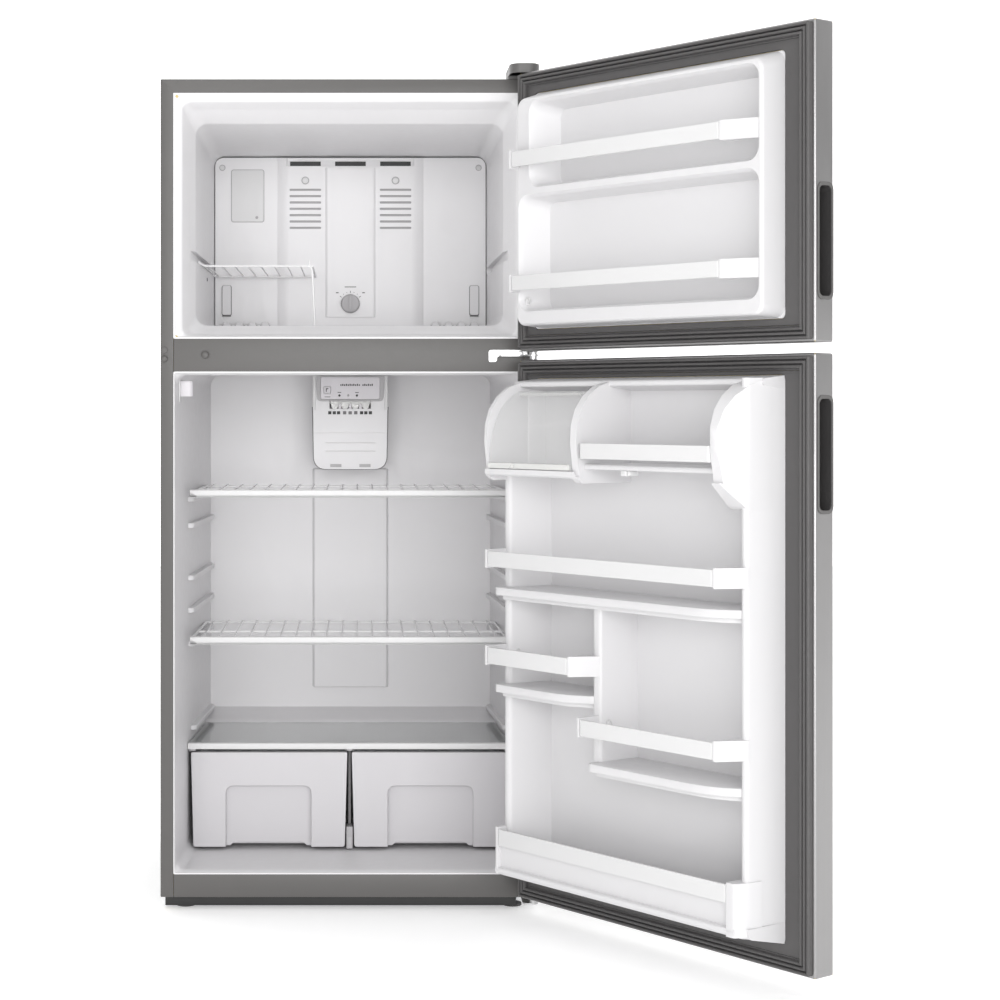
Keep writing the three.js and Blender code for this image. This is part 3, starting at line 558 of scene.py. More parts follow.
def cover_column_details():
    """Screw heads, clips and the row of drain guards on the freezer's back cover, with painted shade round the
    heads and clips and between the guards.
    """
    y = COVER["y"]
    heads = [(-293, 1529, y, 1), (293, 1529, y, 1), (-103, 1499, 590, 1.25), (103, 1499, 590, 1.25)]
    for i, (x, z, face, size) in enumerate(heads):
        # A gray disc round each screw head: painted shade in the groove round the head.
        ring = [(7 * size, 0.4), (7 * size, -0.5), (6.4 * size, -0.8), (1, -0.8)]
        fixed("cover_ring_shade_%d" % (i + 1), turned(ring, (x, face, z)), GRAY_PLASTIC_AND_SHADE)
        head = [(5.6 * size, -0.6), (5.6 * size, -1.6), (4.6 * size, -2.4), (1.5, -2.6)]
        fixed("cover_screw_%d" % (i + 1), turned(head, (x, face, z)), TRIM)
    for side, word in ((-1, "left"), (1, "right")):
        x0, x1 = span(side, 273, 293)
        strip_body = prism(rect(x0, x1, 1192, 1259, 4), "y", y - 7, y + 0.5)
        fixed("cover_clip_" + word, strip_body, LINER, (), 1.2)
        # A dark outline round each clip and a dark strip under it: painted shade round the clip and painted
        # shadow beneath it.
        edge = [
            prism(rect(x0 - 1.4, x1 + 1.4, 1190.4, 1260, 5), "y", y - 0.6, y + 0.2),
            block(x0, x1, y - 5, y, 1188.6, 1191, 0.8),
        ]
        fixed("cover_clip_shade_" + word, edge, SHADOW)
        teeth, gap_shades = [], []
        for i in range(4):
            x = side * (194 + 29.3 * i)
            teeth.append(
                shaped(
                    [(x - 8, 1152), (x + 8, 1152), (x + 8, 1176), (x - 8, 1176)], [0, 0, 7, 7], "y", 572, y
                )
            )
            # Dark strips beside each guard: painted shade in the gaps between the guards.
            gap_shades += [block(x + d - 1.1, x + d + 1.1, 574, y, 1151.6, 1168) for d in (-10, 10)]
        fixed("drain_guard_" + word, teeth, LINER, (), 1.2)
        fixed("drain_gap_shade_" + word, gap_shades, SHADOW)


def evaporator_cover():
    y = COVER["y"]
    # A dark rim just behind the cover's edge: painted shade round the cover.
    rim = prism(
        rect(-COVER["half"], COVER["half"], COVER["low"], COVER["high"], 20, 10), "y", y + 0.6, y + 2.6
    )
    fixed("cover_edge_shade", rim, SHADOW)
    half, low, high = COVER["half"] - 1.4, COVER["low"], COVER["high"] - 1.4
    plate = prism(rect(-half, half, low, high, 19, 10), "y", y, y + 3)
    body = shaped(
        [(-170, y + 2), (-164, 596), (-147, 590), (147, 590), (164, 596), (170, y + 2)], [0, 9, 9, 9, 9, 0],
        "z", low, high - 1,
    )
    hollow = block(-144, 144, 593, y + 9, 1160, 1545)
    top = prism([(-150, 586), (-143, 594), (143, 594), (150, 586)], "z", 1532, high + 4)
    middle = shaped([(-60, 594), (-54, 585.5), (54, 585.5), (60, 594)], [0, 4, 4, 0], "z", 1187, 1528)
    columns = [prism(rect(*span(side, 63, 140), 1194, 1516, 9), "y", 585, 591.2) for side in (-1, 1)]
    vents = [
        prism(rect(*span(side, 67, 139), 1391 + 14.5 * i - 2.6, 1391 + 14.5 * i + 2.6, 2.2), "y", 580, 597)
        for side in (-1, 1) for i in range(7)
    ]
    tops = [prism(rect(x - 33, x + 33, 1535.5, 1540.5, 1.5), "y", 580, 596.5) for x in (-103, 0, 103)]
    hole = turned([(6.5, -20), (6.5, 20)], (0, 590, 1217.5), sides=24)
    raised = cut(fused(cut(body, top), middle), hollow, *columns, *vents, *tops, hole)
    fixed("evaporator_front", [plate, raised], LINER_WHITE_BRIGHTENED, "evaporator_cover", 1.4)
    # A gray sheet behind the vents: painted shade seen through the slots.
    backing = block(-150, 150, 595.6, 596.4, 1380, 1530)
    fixed("vent_shade_backing", backing, GRAY_PLASTIC_AND_SHADE)
    # Black sheets behind the top slots: painted shade inside them.
    top_slot_shades = [block(x - 35, x + 35, 596.5, 597, 1533, 1543) for x in (-103, 0, 103)]
    fixed("top_slot_shade_backing", top_slot_shades, BLACK_PAINT_AND_SHADE)
    # A gray outline round the access plate: painted shade in the gap round it.
    recess = prism(rect(-273, -197, 1404, 1525, 6), "y", y - 0.5, y + 0.2)
    fixed("access_plate_shade", recess, GRAY_PLASTIC_AND_SHADE)
    access = prism(rect(-271.5, -198.5, 1405.5, 1523.5, 5), "y", y - 2.4, y + 0.1)
    fixed("access_plate", access, TRIM, (), 0.8)
    button(-214, y - 2.4, 1415, 3.4, 1.2, "access_screw", GRAY_PLASTIC_AND_SHADE)
    cover_column_details()


def freezer_knob():
    low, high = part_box("freezer_control_knob")
    centre = CABINET.inverted() @ Vector(((low.x + high.x) / 2, high.y, (low.z + high.z) / 2))
    x, z = centre.x, centre.z
    skirt = [(21.4, 585.2), (21.4, 579), (20.4, 574.5), (18.6, 573), (12, 572.6), (0.5, 572.6)]
    grip = shaped(
        [(x - 3.4, z - 17), (x + 3.4, z - 17), (x + 2.6, z + 17.5), (x - 2.6, z + 17.5)], 2, "y", 566.2, 574
    )
    stem = turned([(3.8, 584), (3.8, 595.5)], (x, 0, z), sides=20)
    ribs = [block(-0.5, 0.5, 574.5, 584, 20.6, 21.9) for i in range(24)]
    for i, made in enumerate(ribs):
        bmesh.ops.rotate(
            made, cent=(0, 0, 0), matrix=Matrix.Rotation(i * math.pi / 12, 3, "Y"), verts=made.verts
        )
        bmesh.ops.translate(made, vec=(x, 0, z), verts=made.verts)
    parts = [turned(skirt, (x, 0, z), sides=48), grip, stem, *ribs]
    piece(
        "temperature_dial", parts, CABINET, "temperature_knob", GRAY_PLASTIC_AND_SHADE, "freezer_control_knob",
        0.5,
    )
    marks = []
    for i in range(-3, 4):
        angle = math.radians(i * 18)
        size = 2.2 if i % 3 == 0 else 0.8
        spot = (x + 27 * math.sin(angle), z + 27 * math.cos(angle))
        tick = block(-0.6, 0.6, 585.1, 585.6, -size, size)
        bmesh.ops.rotate(tick, cent=(0, 0, 0), matrix=Matrix.Rotation(angle, 3, "Y"), verts=tick.verts)
        bmesh.ops.translate(tick, vec=(spot[0], 0, spot[1]), verts=tick.verts)
        marks.append(tick)
    marks.append(block(x - 13, x + 13, 585.1, 585.6, z + 37.5, z + 39))
    for side in (-1, 1):
        marks.append(block(x + side * 30 - 3, x + side * 30 + 3, 585.1, 585.6, z + 24, z + 26))
    fixed("dial_marks", marks, PRINT)


def freezer_shelf():
    z, front, back, r = 1278.5, 212, 582, 2.5
    right, left = -79, -304
    wires = [
        sweep(
            bent(
                [
                    (-316, front, 1285), (-306, front, z + 0.5), (-298, front, z), (right, front, z),
                    (right + 6, front, 1150.8),
                ],
                12,
            ),
            r, 12,
        ),
        sweep(bent([(-316, back, 1285), (-306, back, z + 0.5), (-298, back, z), (right, back, z)], 6), r, 12),
        sweep([(-316, front - 4, 1286), (-316, back + 4, 1286)], r, 12),
        sweep([(right, front, z), (right, back, z)], r, 12),
        sweep([(right - 6, front, z), (right - 6, front, z + 12)], 1.5),
    ]
    for i in range(8):
        x = left + 4 + 28 * i
        wires.append(sweep(bent([(x, front, z + 2), (x, back, z + 2)], 2), 1.7))
    fixed("freezer_wire_shelf", wires, WIRE, "freezer_shelf")
    # A dark disc on the side wall: painted shade in the shelf peg hole.
    peg = turned([(4, -313.2), (4, -312), (3, -311.4)], (0, 388, 1260.5), "x", 20)
    fixed("shelf_peg_hole_shade", peg, SHADOW)


# ---- Fresh food space ----
FRIDGE_ROWS = [(0.15, 350, 48.5, 1050.5, 1.5), (14, 348.3, 53, 1046, 20), (590, 319, 55, 1054, 25)]


FRONT_HALF, BACK_HALF, INNER_DEPTH = 349, 319, 590


def wall_at(y):
    """How far a side wall of the fresh food space is from the centre line, y behind the front."""
    return FRONT_HALF - (FRONT_HALF - BACK_HALF) * y / INNER_DEPTH


def wall_rib(side, top, front, back, reach, thick):
    """A rib along a side wall, with a rounded front end and a soft edge."""
    w0, w1 = wall_at(front), wall_at(back)
    outline = soft(
        [
            (side * (w0 + 1), front), (side * (w0 - reach), front + 6), (side * (w1 - reach), back - 6),
            (side * (w1 + 1), back),
        ],
        [0, 9, 9, 0],
    )
    return prism(outline, "z", top - thick, top)


def fridge_liner():
    hump = [(484.5, -20), (484.5, 261), (501, 277), (600, 297.5), (720, 297.5), (720, -20)]
    grown = [(482, -20), (482, 262), (500, 280), (600, 300), (720, 300), (720, -20)]
    outer = cut(loft(eased(sections_of(FRIDGE_ROWS, WALL), 8)), prism(hump, "x", -HALF, HALF))
    inner = cut(
        loft(eased(sections_of(FRIDGE_ROWS, 0, -4), 8)), shaped(grown, [0, 12, 12, 0, 0, 0], "x", -HALF, HALF)
    )
    switch = block(-HALF, -330, 66, 84, 1002, 1036)
    shell = cut(outer, inner, switch)
    fixed("fresh_food_lining", shell, LINER, "fridge_liner")
    ribs = []
    rows = [(top, 205, 570, 11) for top in (794, 738, 628, 560, 490)] + [
        (306, 250, 575, 10), (265.6, 220, 575, 10)
    ]
    for side in (-1, 1):
        ribs += [wall_rib(side, top, front, back, 12, thick) for top, front, back, thick in rows]
    fixed("shelf_ribs", ribs, LINER, (), 1.6)
    duct = prism([(-88, 592), (-82, 583), (82, 583), (88, 592)], "z", 343, 841)
    fixed("air_duct", duct, LINER, (), 2)
    collar = cut(
        prism(rect(56, 94, 990, 1048, 8), "x", -345.9, -343.2), block(-360, -330, 66, 84, 1002, 1036)
    )
    fixed("switch_collar", collar, TRIM, (), 0.8)


def light_switch():
    low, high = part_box("light_switch")
    low, high = CABINET.inverted() @ low, CABINET.inverted() @ high
    outline = soft(
        [
            (low.y + 0.3, low.x), (high.y - 0.3, low.x), (high.y - 0.3, high.x - 6),
            ((low.y + high.y) / 2, high.x), (low.y + 0.3, high.x - 6),
        ],
        [0, 0, 3, 5, 3],
    )
    paddle = prism([(x, y) for y, x in outline], "z", low.z + 0.3, high.z - 0.3)
    piece("switch_paddle", paddle, CABINET, "door_switch", PANEL, "light_switch", 0.7)


def wire_shelf(number, top, node):
    front, back, half, back_half = 136, 486, 330, 322
    profile = soft(
        [(front, top - 16.5), (front + 12, top - 16.5), (front + 12, top), (front, top)], [2, 1, 3, 4]
    )
    slot = block(-half + 14, half - 14, front - 1, front + 3.5, top - 15, top - 11.5)
    trim = cut(prism(profile, "x", -half, half), slot)
    fixed("shelf_trim_%d" % number, trim, TRIM, (), 0.6)
    z = top - 6
    wires = [
        sweep(
            bent(
                [
                    (-half + 3, front + 6, z), (-back_half, back, z), (back_half, back, z),
                    (half - 3, front + 6, z),
                ],
                14,
            ),
            2.6, 10,
        ),
        sweep([(-half + 4, 292, z), (half - 4, 292, z)], 2.6, 10),
        sweep([(-half + 3, front + 13, z), (half - 3, front + 13, z)], 2.6, 10),
    ]
    for i in range(20):
        x = (i - 9.5) * 32
        wires.append(
            sweep(
                bent([(x, front + 8, top - 2.2), (x, back + 2, top - 2.2), (x, back + 3, top - 9)], 3), 1.55,
                8,
            )
        )
    fixed("shelf_wires_%d" % number, wires, WIRE, node)


def crisper_cover():
    glass = shaped([(-336, 197), (336, 197), (322, 479), (-322, 479)], 5, "z", 274.6, 278.6, 0)
    fixed("drawer_glass", glass, GLASS, "crisper_glass", 0.8)
    low, high = 266.4, 274.3
    outer = shaped([(-337, 190), (337, 190), (322.5, 480), (-322.5, 480)], 4, "z", low, high)
    inner = shaped([(-317, 206), (317, 206), (306, 468), (-306, 468)], 6, "z", low - 2, high + 2)
    lip = shaped([(186, 266), (196.5, 266), (196.5, 279), (186, 279)], [1.5, 0, 2, 4], "x", -338.5, 338.5)
    fixed("drawer_frame", [cut(outer, inner), lip], TRIM, "crisper_frame", 0.7)
    clips = []
    for x in (-332, -4, 326):
        clips.append(block(x - 2, x + 10, 188.5, 197, 262.5, 266.2, 0.8))
    fixed("frame_clips", clips, GRAY_PLASTIC_AND_SHADE)


def crisper_support():
    wall = block(-2.8, 2.8, 231, 478, 56.2, 265.4, 0.8)
    post = shaped([(-7, 196), (7, 196), (5, 232), (-5, 232)], 2, "z", 56.4, 102)
    nose = shaped([(192, 57), (200, 57), (200, 80), (196, 80)], 1, "x", -5, 5)
    fixed("drawer_divider", [wall, post, nose], GRAY_PLASTIC_AND_SHADE, "crisper_support", 0.8)


def crisper(side, word):
    panel = shaped([(-327, 61), (-10, 61), (-4.6, 259), (-332, 259)], [6, 6, 3, 3], "y", 190, 212)
    recess = shaped([(-259, 40), (-80, 40), (-80, 189), (-259, 189)], [0, 0, 18, 18], "y", 186, 205)
    notch = shaped([(-262, 50), (-78, 50), (-97, 68), (-243, 68)], [0, 0, 6, 6], "y", 180, 230)
    front = cut(panel, recess, notch)
    tray = [[64, -306.5, -13.5, 212, 464, 14], [256, -313, -8, 212, 471, 16]]
    bowl = [[67, -303.5, -16.5, 216, 461, 11], [257, -310, -11, 216, 468, 13]]
    stand = lambda rows: loft([[z, x0, x1, -y1, -y0, r] for z, x0, x1, y0, y1, r in rows])
    made = cut(stand(tray), stand(bowl))
    bmesh.ops.rotate(made, cent=(0, 0, 0), matrix=Matrix.Rotation(math.pi / 2, 3, "X"), verts=made.verts)
    rim = cut(
        shaped([(-316, 212), (-6, 212), (-6, 472.5), (-316, 472.5)], 10, "z", 252, 256.5),
        shaped([(-310.5, 216), (-11, 216), (-11, 467.5), (-310.5, 467.5)], 10, "z", 250, 258),
    )
    parts = [front, made, rim]
    if side > 0:
        parts = [mirrored(part) for part in parts]
    piece(
        "drawer_" + word, parts, CABINET, word + "_drawer", DRAWER, "crisper_" + word, 1.2, 35
    )


def control_box():
    low, high, half, front = 843, 1052, 84, 480
    r = 30
    shape = soft([(-half, high), (-half + 3, low), (half - 3, low), (half, high)], [0, r, r, 0], 10)
    inner = soft(
        [(-half + 3, high - 3), (-half + 6, low + 3), (half - 6, low + 3), (half - 3, high - 3)],
        [0, r, r, 0], 10,
    )
    grooves = [
        shaped([(front - 1.2, z - 1.6), (front + 1.4, z), (front - 1.2, z + 1.6)], 0, "x", -55, 56)
        for z in (902, 883.5)
    ]
    seam = block(-half - 2, half + 2, front - 2, front + 0.7, 923.8, 925)
    feet = [block(x - 12.5, x + 12.5, front - 2, front + 6, 847.5, 854.5, 0) for x in (-32, 33)]
    slots = []
    for x in (-45.5, -35.5, -26, -12.5, 0, 12.5, 25.5, 35, 45):
        slots.append(block(x - 3.7, x + 3.7, front - 2, front + 6, 965.5, 972.5, 0))
    hole = block(-46, 46, front - 2, front + 6, 978, 994)
    body = cut(
        prism(shape, "y", front, 589.5), prism(inner, "y", front + 3, 600), seam, hole, *grooves, *feet,
        *slots,
    )
    fixed("control_housing", body, LINER, "control_box", 0.9)
    cheeks = [block(*span(side, 76.5, 83.6), front - 2.5, front + 8, 975, 1051.5, 1.5) for side in (-1, 1)]
    fixed("control_cheeks", cheeks, TRIM)
    for word, x0, x1, look in (
        ("left", -50, -19, BLACK_PAINT_AND_SHADE), ("middle", -18, 18, SHADOW), ("right", 19, 50, BLACK_PAINT_AND_SHADE)
    ):
        fixed("slot_shade_" + word, block(x0, x1, front + 3.2, front + 4, 960, 975), look)
    # A dark band round the housing's lower part: painted shade in the gap round it.
    outline = soft(
        [(-half - 1.6, high - 70), (-half + 1.4, low - 1.6), (half - 1.4, low - 1.6), (half + 1.6, high - 70)],
        [0, r, r, 0], 10,
    )
    fixed("control_gap_shade", prism(outline, "y", front + 5, front + 8), SHADOW)
    shade_low = block(-48, 49, front + 3.2, front + 4, 845.5, 856)
    fixed("foot_shade", shade_low, GRAY_PLASTIC_AND_SHADE)
    frame_shape = soft([(-75.5, 1051.5), (-74, 994.5), (74, 994.5), (75.5, 1051.5)], [0, 10, 10, 0])
    hollow = prism(rect(-65.8, 66.2, 999.2, 1048.6, 4), "y", 470, 484)
    surround = cut(prism(frame_shape, "y", front - 3.2, front - 0.1), hollow)
    fixed("panel_surround", surround, GRAY_PLASTIC_AND_SHADE, (), 0.9)
    face = cut(
        prism(rect(-65.4, 65.8, 999.6, 1048.2, 4), "y", 476.3, 479.6),
        prism(rect(-59.2, -42.8, 1011.2, 1027.8, 3), "y", 470, 490),
    )
    fixed("panel_face", face, PANEL, "control_panel", 0.5)
    cap = prism(rect(-58.4, -43.6, 1012.1, 1027.1, 2.6), "y", 473.6, 484)
    piece("mode_key", cap, CABINET, "mode_button", PANEL, "setting_button", 0.8)
    key_mark = [
        block(-54, -52.4, 473.3, 473.7, 1015.5, 1023.5), block(-52.4, -48.5, 473.3, 473.7, 1021.5, 1023.5)
    ]
    piece("mode_key_mark", key_mark, CABINET, "mode_button", PRINT)
    words = [
        block(-22 + 4.1 * i, -22 + 4.1 * i + 2.8, 476.0, 476.4, 1029, 1032.4 + i % 2)
        for i in range(18) if i != 11
    ]
    words += [block(x - 4, x + 4, 476.0, 476.4, 1013.5, 1015) for x in (-24, 15)]
    words.append(block(-57, -44, 476.0, 476.4, 1003.8, 1005))
    fixed("panel_print", words, PRINT)
    for i, x in enumerate((-24, -4.5, 15)):
        dot = [(2.6, 0.2), (2.6, -0.4), (1.9, -0.9), (0.4, -1.1)]
        fixed(
            "panel_lamp_%d" % (i + 1), turned(dot, (x, 476.2, 1007.5), sides=20),
            GRAY_PLASTIC_AND_SHADE if i == 1 else PRINT,
        )
    lens = [block(-45.5, 45.5, 474, 479.6, 989, 995.5, 1.5)]
    for i in range(4):
        x = -34.5 + 23 * i
        lobe = soft(
            [(x - 9, 993), (x + 9, 993), (x + 7.5, 982), (x + 4, 977.2), (x - 4, 977.2), (x - 7.5, 982)],
            [0, 0, 5, 4, 4, 5],
        )
        lens.append(prism(lobe, "y", 471.5, 479.6))
    fixed("lamp_cover", lens, LENS, "light_lens", 1.2)
    arches = [
        shaped([(x - 3, 978), (x + 3, 978), (x + 3, 990), (x - 3, 990)], [0, 0, 3, 3], "y", 477.5, 480)
        for x in (-23, 0, 23)
    ]
    fixed("lamp_arches", arches, PANEL)


# ---- Hinges ----
def hinges():
    x, y = 366, -38.5
    arm = shaped(
        [
            (300, -3), (300, -13), (344, -16), (352, y - 2), (360, y - 9.5), (372, y - 9.5), (377, y - 2),
            (377, -3),
        ],
        [1, 5, 6, 8, 6, 6, 6, 1], "z", 1083, 1086,
    )
    face = shaped(
        [(279.5, 1072), (295.5, 1072), (297, 1083), (376, 1083), (376, 1096.5), (279.5, 1096.5)],
        [4, 4, 3, 0, 2, 6], "y", -2.8, -0.3,
    )
    gusset = prism([(-2, 1086), (-30, 1086), (-2, 1094)], "x", 356, 359, 0)
    posts = [
        turned([(4.5, 1084), (4.5, 1106), (3.4, 1108)], (x, y, 0), "z", 24),
        turned([(8, 1085.5), (8, 1091.4), (7, 1092)], (x, y, 0), "z", 24),
        turned([(3.4, 1060), (4.5, 1062), (4.5, 1084)], (x, y, 0), "z", 24),
        turned([(7, 1075.2), (8, 1076), (8, 1083.5)], (x, y, 0), "z", 24),
    ]
    fixed("middle_hinge", [face, arm, gusset, *posts], PLATED, "centre_hinge", 0.5)
    for i, (sx, sz) in enumerate([(288, 1089.5), (318, 1089.5), (344, 1089.5)]):
        head = [(5.2, 0.2), (5.2, -1.6), (4.2, -2.6), (2.6, -2.8), (2.2, -1.6), (0.4, -1.6)]
        fixed("hinge_screw_%d" % (i + 1), turned(head, (sx, -2.8, sz), sides=24), PLATED)
    low_arm = shaped(
        [(345, 68), (345, y - 4), (352, y - 9.5), (371, y - 9.5), (376, y - 3), (376, 68)],
        [2, 7, 6, 6, 6, 2], "z", -3.5, -0.5,
    )
    low_pin = [
        turned([(4.5, -2), (4.5, 26), (3.4, 28)], (x, y, 0), "z", 24),
        turned([(8, -1), (8, 8), (7.2, 8.8)], (x, y, 0), "z", 24),
    ]
    fixed("foot_hinge", [low_arm, *low_pin], PLATED, "bottom_hinge", 0.4)
    top = HEIGHT
    outline = soft(
        [(319.3, 84), (319.3, -38), (332, -52.6), (366, -52.6), (378.7, -38), (378.7, 84)],
        [6, 14, 10, 10, 14, 6], 7,
    )
    inner = soft(
        [(321.8, 81.5), (321.8, -37), (333, -50), (365, -50), (376.2, -37), (376.2, 81.5)],
        [5, 12, 8, 8, 12, 5], 7,
    )
    lid = cut(prism(outline, "z", top + 5.2, top + 23.7), prism(inner, "z", top + 3, top + 21))
    skirt = cut(
        shaped([(319.3, 84), (319.3, 4.2), (378.7, 4.2), (378.7, 84)], [6, 1, 1, 6], "z", top + 0.4, top + 7),
        shaped(
            [(321.8, 81.5), (321.8, 6.6), (376.2, 6.6), (376.2, 81.5)], [5, 1, 1, 5], "z", top - 1, top + 9
        ),
    )
    cap = [(5.5, top + 23.5), (5.5, top + 23.9), (4.6, top + 24), (0.5, top + 24)]
    fixed(
        "hinge_cap", [lid, skirt, turned(cap, (349, 50, 0), "z", 24)], BEZEL,
        "top_hinge_cover", 1.2,
    )


# ---- Doors ----

def door_shell(door):
    low, high, pocket = door["low"], door["high"], door["pocket"]
    body = door["name"]
    w, t = DOOR_WIDTH, DOOR_THICK
    outer = block(0, w, -t, 0, low, high, 4.2, 5)
    inside = block(1, w - 1, 1 - t, -1, low + 1, high - 1, 3, 3)
    opening = block(15, w - 15, -3, 3, low + 15, high - 15)
    side_hole = prism(rect(-45.2, -6.8, pocket[0] - 0.2, pocket[1] + 0.2, 12), "x", w - 12, w + 5)
    holes = [
        turned([(5.6, a), (5.6, b)], (12, -25, 0), "z", 24)
        for a, b in ((low - 3, low + 10), (high - 10, high + 3))
    ]
    skin = cut(outer, inside, opening, side_hole, *holes)
    piece(body + "_panel", skin, DOOR, body, STEEL, body + "_skin", 0.3)


def door_gasket(door):
    """Three folds of seal round the door's edge, and the flat skirt that joins them to the liner."""
    low, high = door["low"], door["high"]
    body = door["name"]
    liner_low, liner_high = door["liner"]
    seal = [(5, 0.4)]
    for d in (5, 12.6, 20.2):
        seal += [
            (d, 9), (d + 1.4, 11.4), (d + 3, 12), (d + 4.8, 11.4), (d + 6.2, 9), (d + 6.4, 3.5),
            (d + 7.4, 3.5),
        ]
    seal[-1] = (28.4, 3.5)
    seal += [(29.5, 3.2), (29.5, 0.4)]
    piece(
        body + "_seal", band(seal, 0, DOOR_WIDTH, low, high, 9), DOOR, body, GASKET,
        body + "_gasket",
    )
    flap = cut(
        block(29.8, DOOR_WIDTH - 29.8, 0.4, 4.2, low + 29.8, high - 29.8, 1.2),
        prism(rect(46.6, 689.4, liner_low - 1, liner_high + 1, 10), "y", -3, 9),
    )
    piece(body + "_seal_flap", flap, DOOR, body, GASKET, (), 0.4)


def pocket_handle(door):
    w = DOOR_WIDTH
    low, high = door["pocket"]
    body = door["name"]
    cup = cut(
        prism(rect(-45, -7, low, high, 12), "x", w - 34, w + 0.4),
        prism(rect(-41.5, -10.5, low + 4, high - 4, 10), "x", w - 31.5, w + 6),
    )
    piece(body + "_pocket", cup, DOOR, body, DARK, body + "_pocket_handle", 1.2)
    rim = cut(
        prism(rect(-46.4, -5.6, low - 2.6, high + 2.6, 13), "x", w + 0.3, w + 1.3),
        prism(rect(-42, -10, low + 3.6, high - 3.6, 10), "x", w - 2, w + 6),
    )
    piece(body + "_pocket_rim", rim, DOOR, body, BEZEL, (), 0.4)


def ledge(u0, u1, top, front, crest, thick=15):
    """A bin floor: its front edge is round, and its far end turns back to the crest of the door's side."""
    floor = soft([(u0, 2), (u0, front), (u1 - 56, front), (u1, crest), (u1, 2)], [0, 16, 44, 12, 0], 8)
    under = soft(
        [(u0 + 4, 2), (u0 + 4, front - 16), (u1 - 60, front - 16), (u1, crest - 16), (u1, 2)],
        [0, 12, 40, 10, 0], 8,
    )
    return [prism(floor, "z", top - thick, top, 5.5), prism(under, "z", top - thick - 9, top - thick + 2, 4)]


def bar(name, u0, u1, front, low, high, body, node, arm=22):
    """The raised bar across a bin, bent back at its ends, with a thin top rim."""
    plan = soft(
        [
            (u0, front - arm), (u0, front), (u1, front), (u1, front - arm), (u1 - 2.6, front - arm),
            (u1 - 2.6, front - 3), (u0 + 2.6, front - 3), (u0 + 2.6, front - arm),
        ],
        [0, 5, 5, 0, 0, 3, 3, 0],
    )
    strip_body = prism(plan, "z", low, high)
    rim = block(u0 + 1.5, u1 - 1.5, front - 5.5, front - 0.2, high - 2.6, high - 0.1, 0.8)
    foot = block(u0 + 1.5, u1 - 1.5, front - 5.5, front - 0.2, low + 0.1, low + 2.4, 0.8)
    return piece(name, [strip_body, rim, foot], DOOR, body, TRIM, node, 0.6)


def bar_seats(u0, u1, front, low, high, crest, crest_u):
    """The moulded seats at a bar's ends: a slim one at the hinge side and a sloping one at the other."""
    base = min(front - 26, crest - 6)
    low, high = low - 3, high + 3
    left = shaped(
        [(u0 - 8, base), (u0 - 8, front), (u0 - 0.4, front), (u0 - 0.4, base)], [0, 4, 1, 0], "z", low, high
    )
    right = shaped(
        [(u1 + 0.4, base), (u1 + 0.4, front), (u1 + 5, front), (crest_u, crest - 2), (crest_u, base)],
        [0, 1, 5, 8, 0], "z", low, high,
    )
    return [left, right]


def freezer_door_inside():
    door = FREEZER_DOOR
    low, high = door["liner"]
    body = door["name"]
    base = prism(rect(47, 689, low, high, 9), "y", 0.4, 2.4)
    dyke = loft(
        eased(
            [
                [1, 50, 688, low + 1, high, 22], [56, 57, 686.4, low + 4.6, high - 17.5, 19],
                [60, 61, 683, low + 8.5, high - 22, 16],
            ],
            4,
        )
    )
    pockets = [
        loft(
            eased(
                [
                    [3, 122, 662, 1410, high - 40, 18], [52, 99, 675, 1409, high - 29, 22],
                    [61, 93, 680, 1404, high - 23, 26], [66, 90, 682, 1401, high - 20, 28],
                ],
                5,
            )
        ),
        loft(
            eased(
                [
                    [3, 92, 662, 1172, 1379, 18], [52, 69, 675, 1171, 1387, 22],
                    [61, 63, 680, 1166, 1393, 26], [66, 60, 682, 1163, 1396, 28],
                ],
                5,
            )
        ),
    ]
    parts = [base, cut(dyke, *pockets)]
    bars = [("upper", 1446, 1475), ("lower", 1207, 1235)]
    for word, z0, z1 in bars:
        parts += bar_seats(66, 608, 83, z0, z1, 60, 678)
        bar("freezer_bar_" + word, 66, 608, 83, z0, z1, body, "freezer_door_bar_" + word)
    piece("freezer_door_lining", parts, DOOR, body, LINER_WHITE_DARKENED, "freezer_door_liner", 1.8, 34)
    bar_clips("freezer_bar_clips", [(70, 1425, 46), (70, 1187, 46)], body)


def bar_clips(name, spots, body):
    """Small oval catches moulded beside the bars' hinge ends."""
    parts = []
    for u, z, p in spots:
        parts.append(
            cut(
                prism(rect(p - 5, p + 5, z - 7, z + 7, 4.5), "x", u + 4, u + 9),
                prism(rect(p - 3, p + 3, z - 5, z + 5, 2.8), "x", u + 6, u + 12),
            )
        )
    piece(name, parts, DOOR, body, TRIM)


FIN_FRONT = [(143, 916), (141, 948), (131, 978), (112, 1002), (86, 1020), (52, 1030)]


def fin(u0, u1):
    """A wall of the upper bins, whose front curves back to the top of the liner."""
    return prism(soft([(2, 842), (128, 842), (143, 856)], [0, 6, 8]) + FIN_FRONT + [(2, 1031)], "x", u0, u1)


def handle_fin():
    """The upper bins' outer wall: its side slopes back from the bin's front to the door's edge."""
    plan = soft([(643, 2), (643, 143), (660, 143), (683, 92), (687.5, 2)], [0, 4, 7, 10, 0])
    side = soft([(-1, 806), (90, 806), (143, 856)], [0, 12, 12]) + FIN_FRONT + [(-1, 1031)]
    return boolean(prism(plan, "z", 800, 1032), [prism(side, "x", 640, 690)], "INTERSECT")


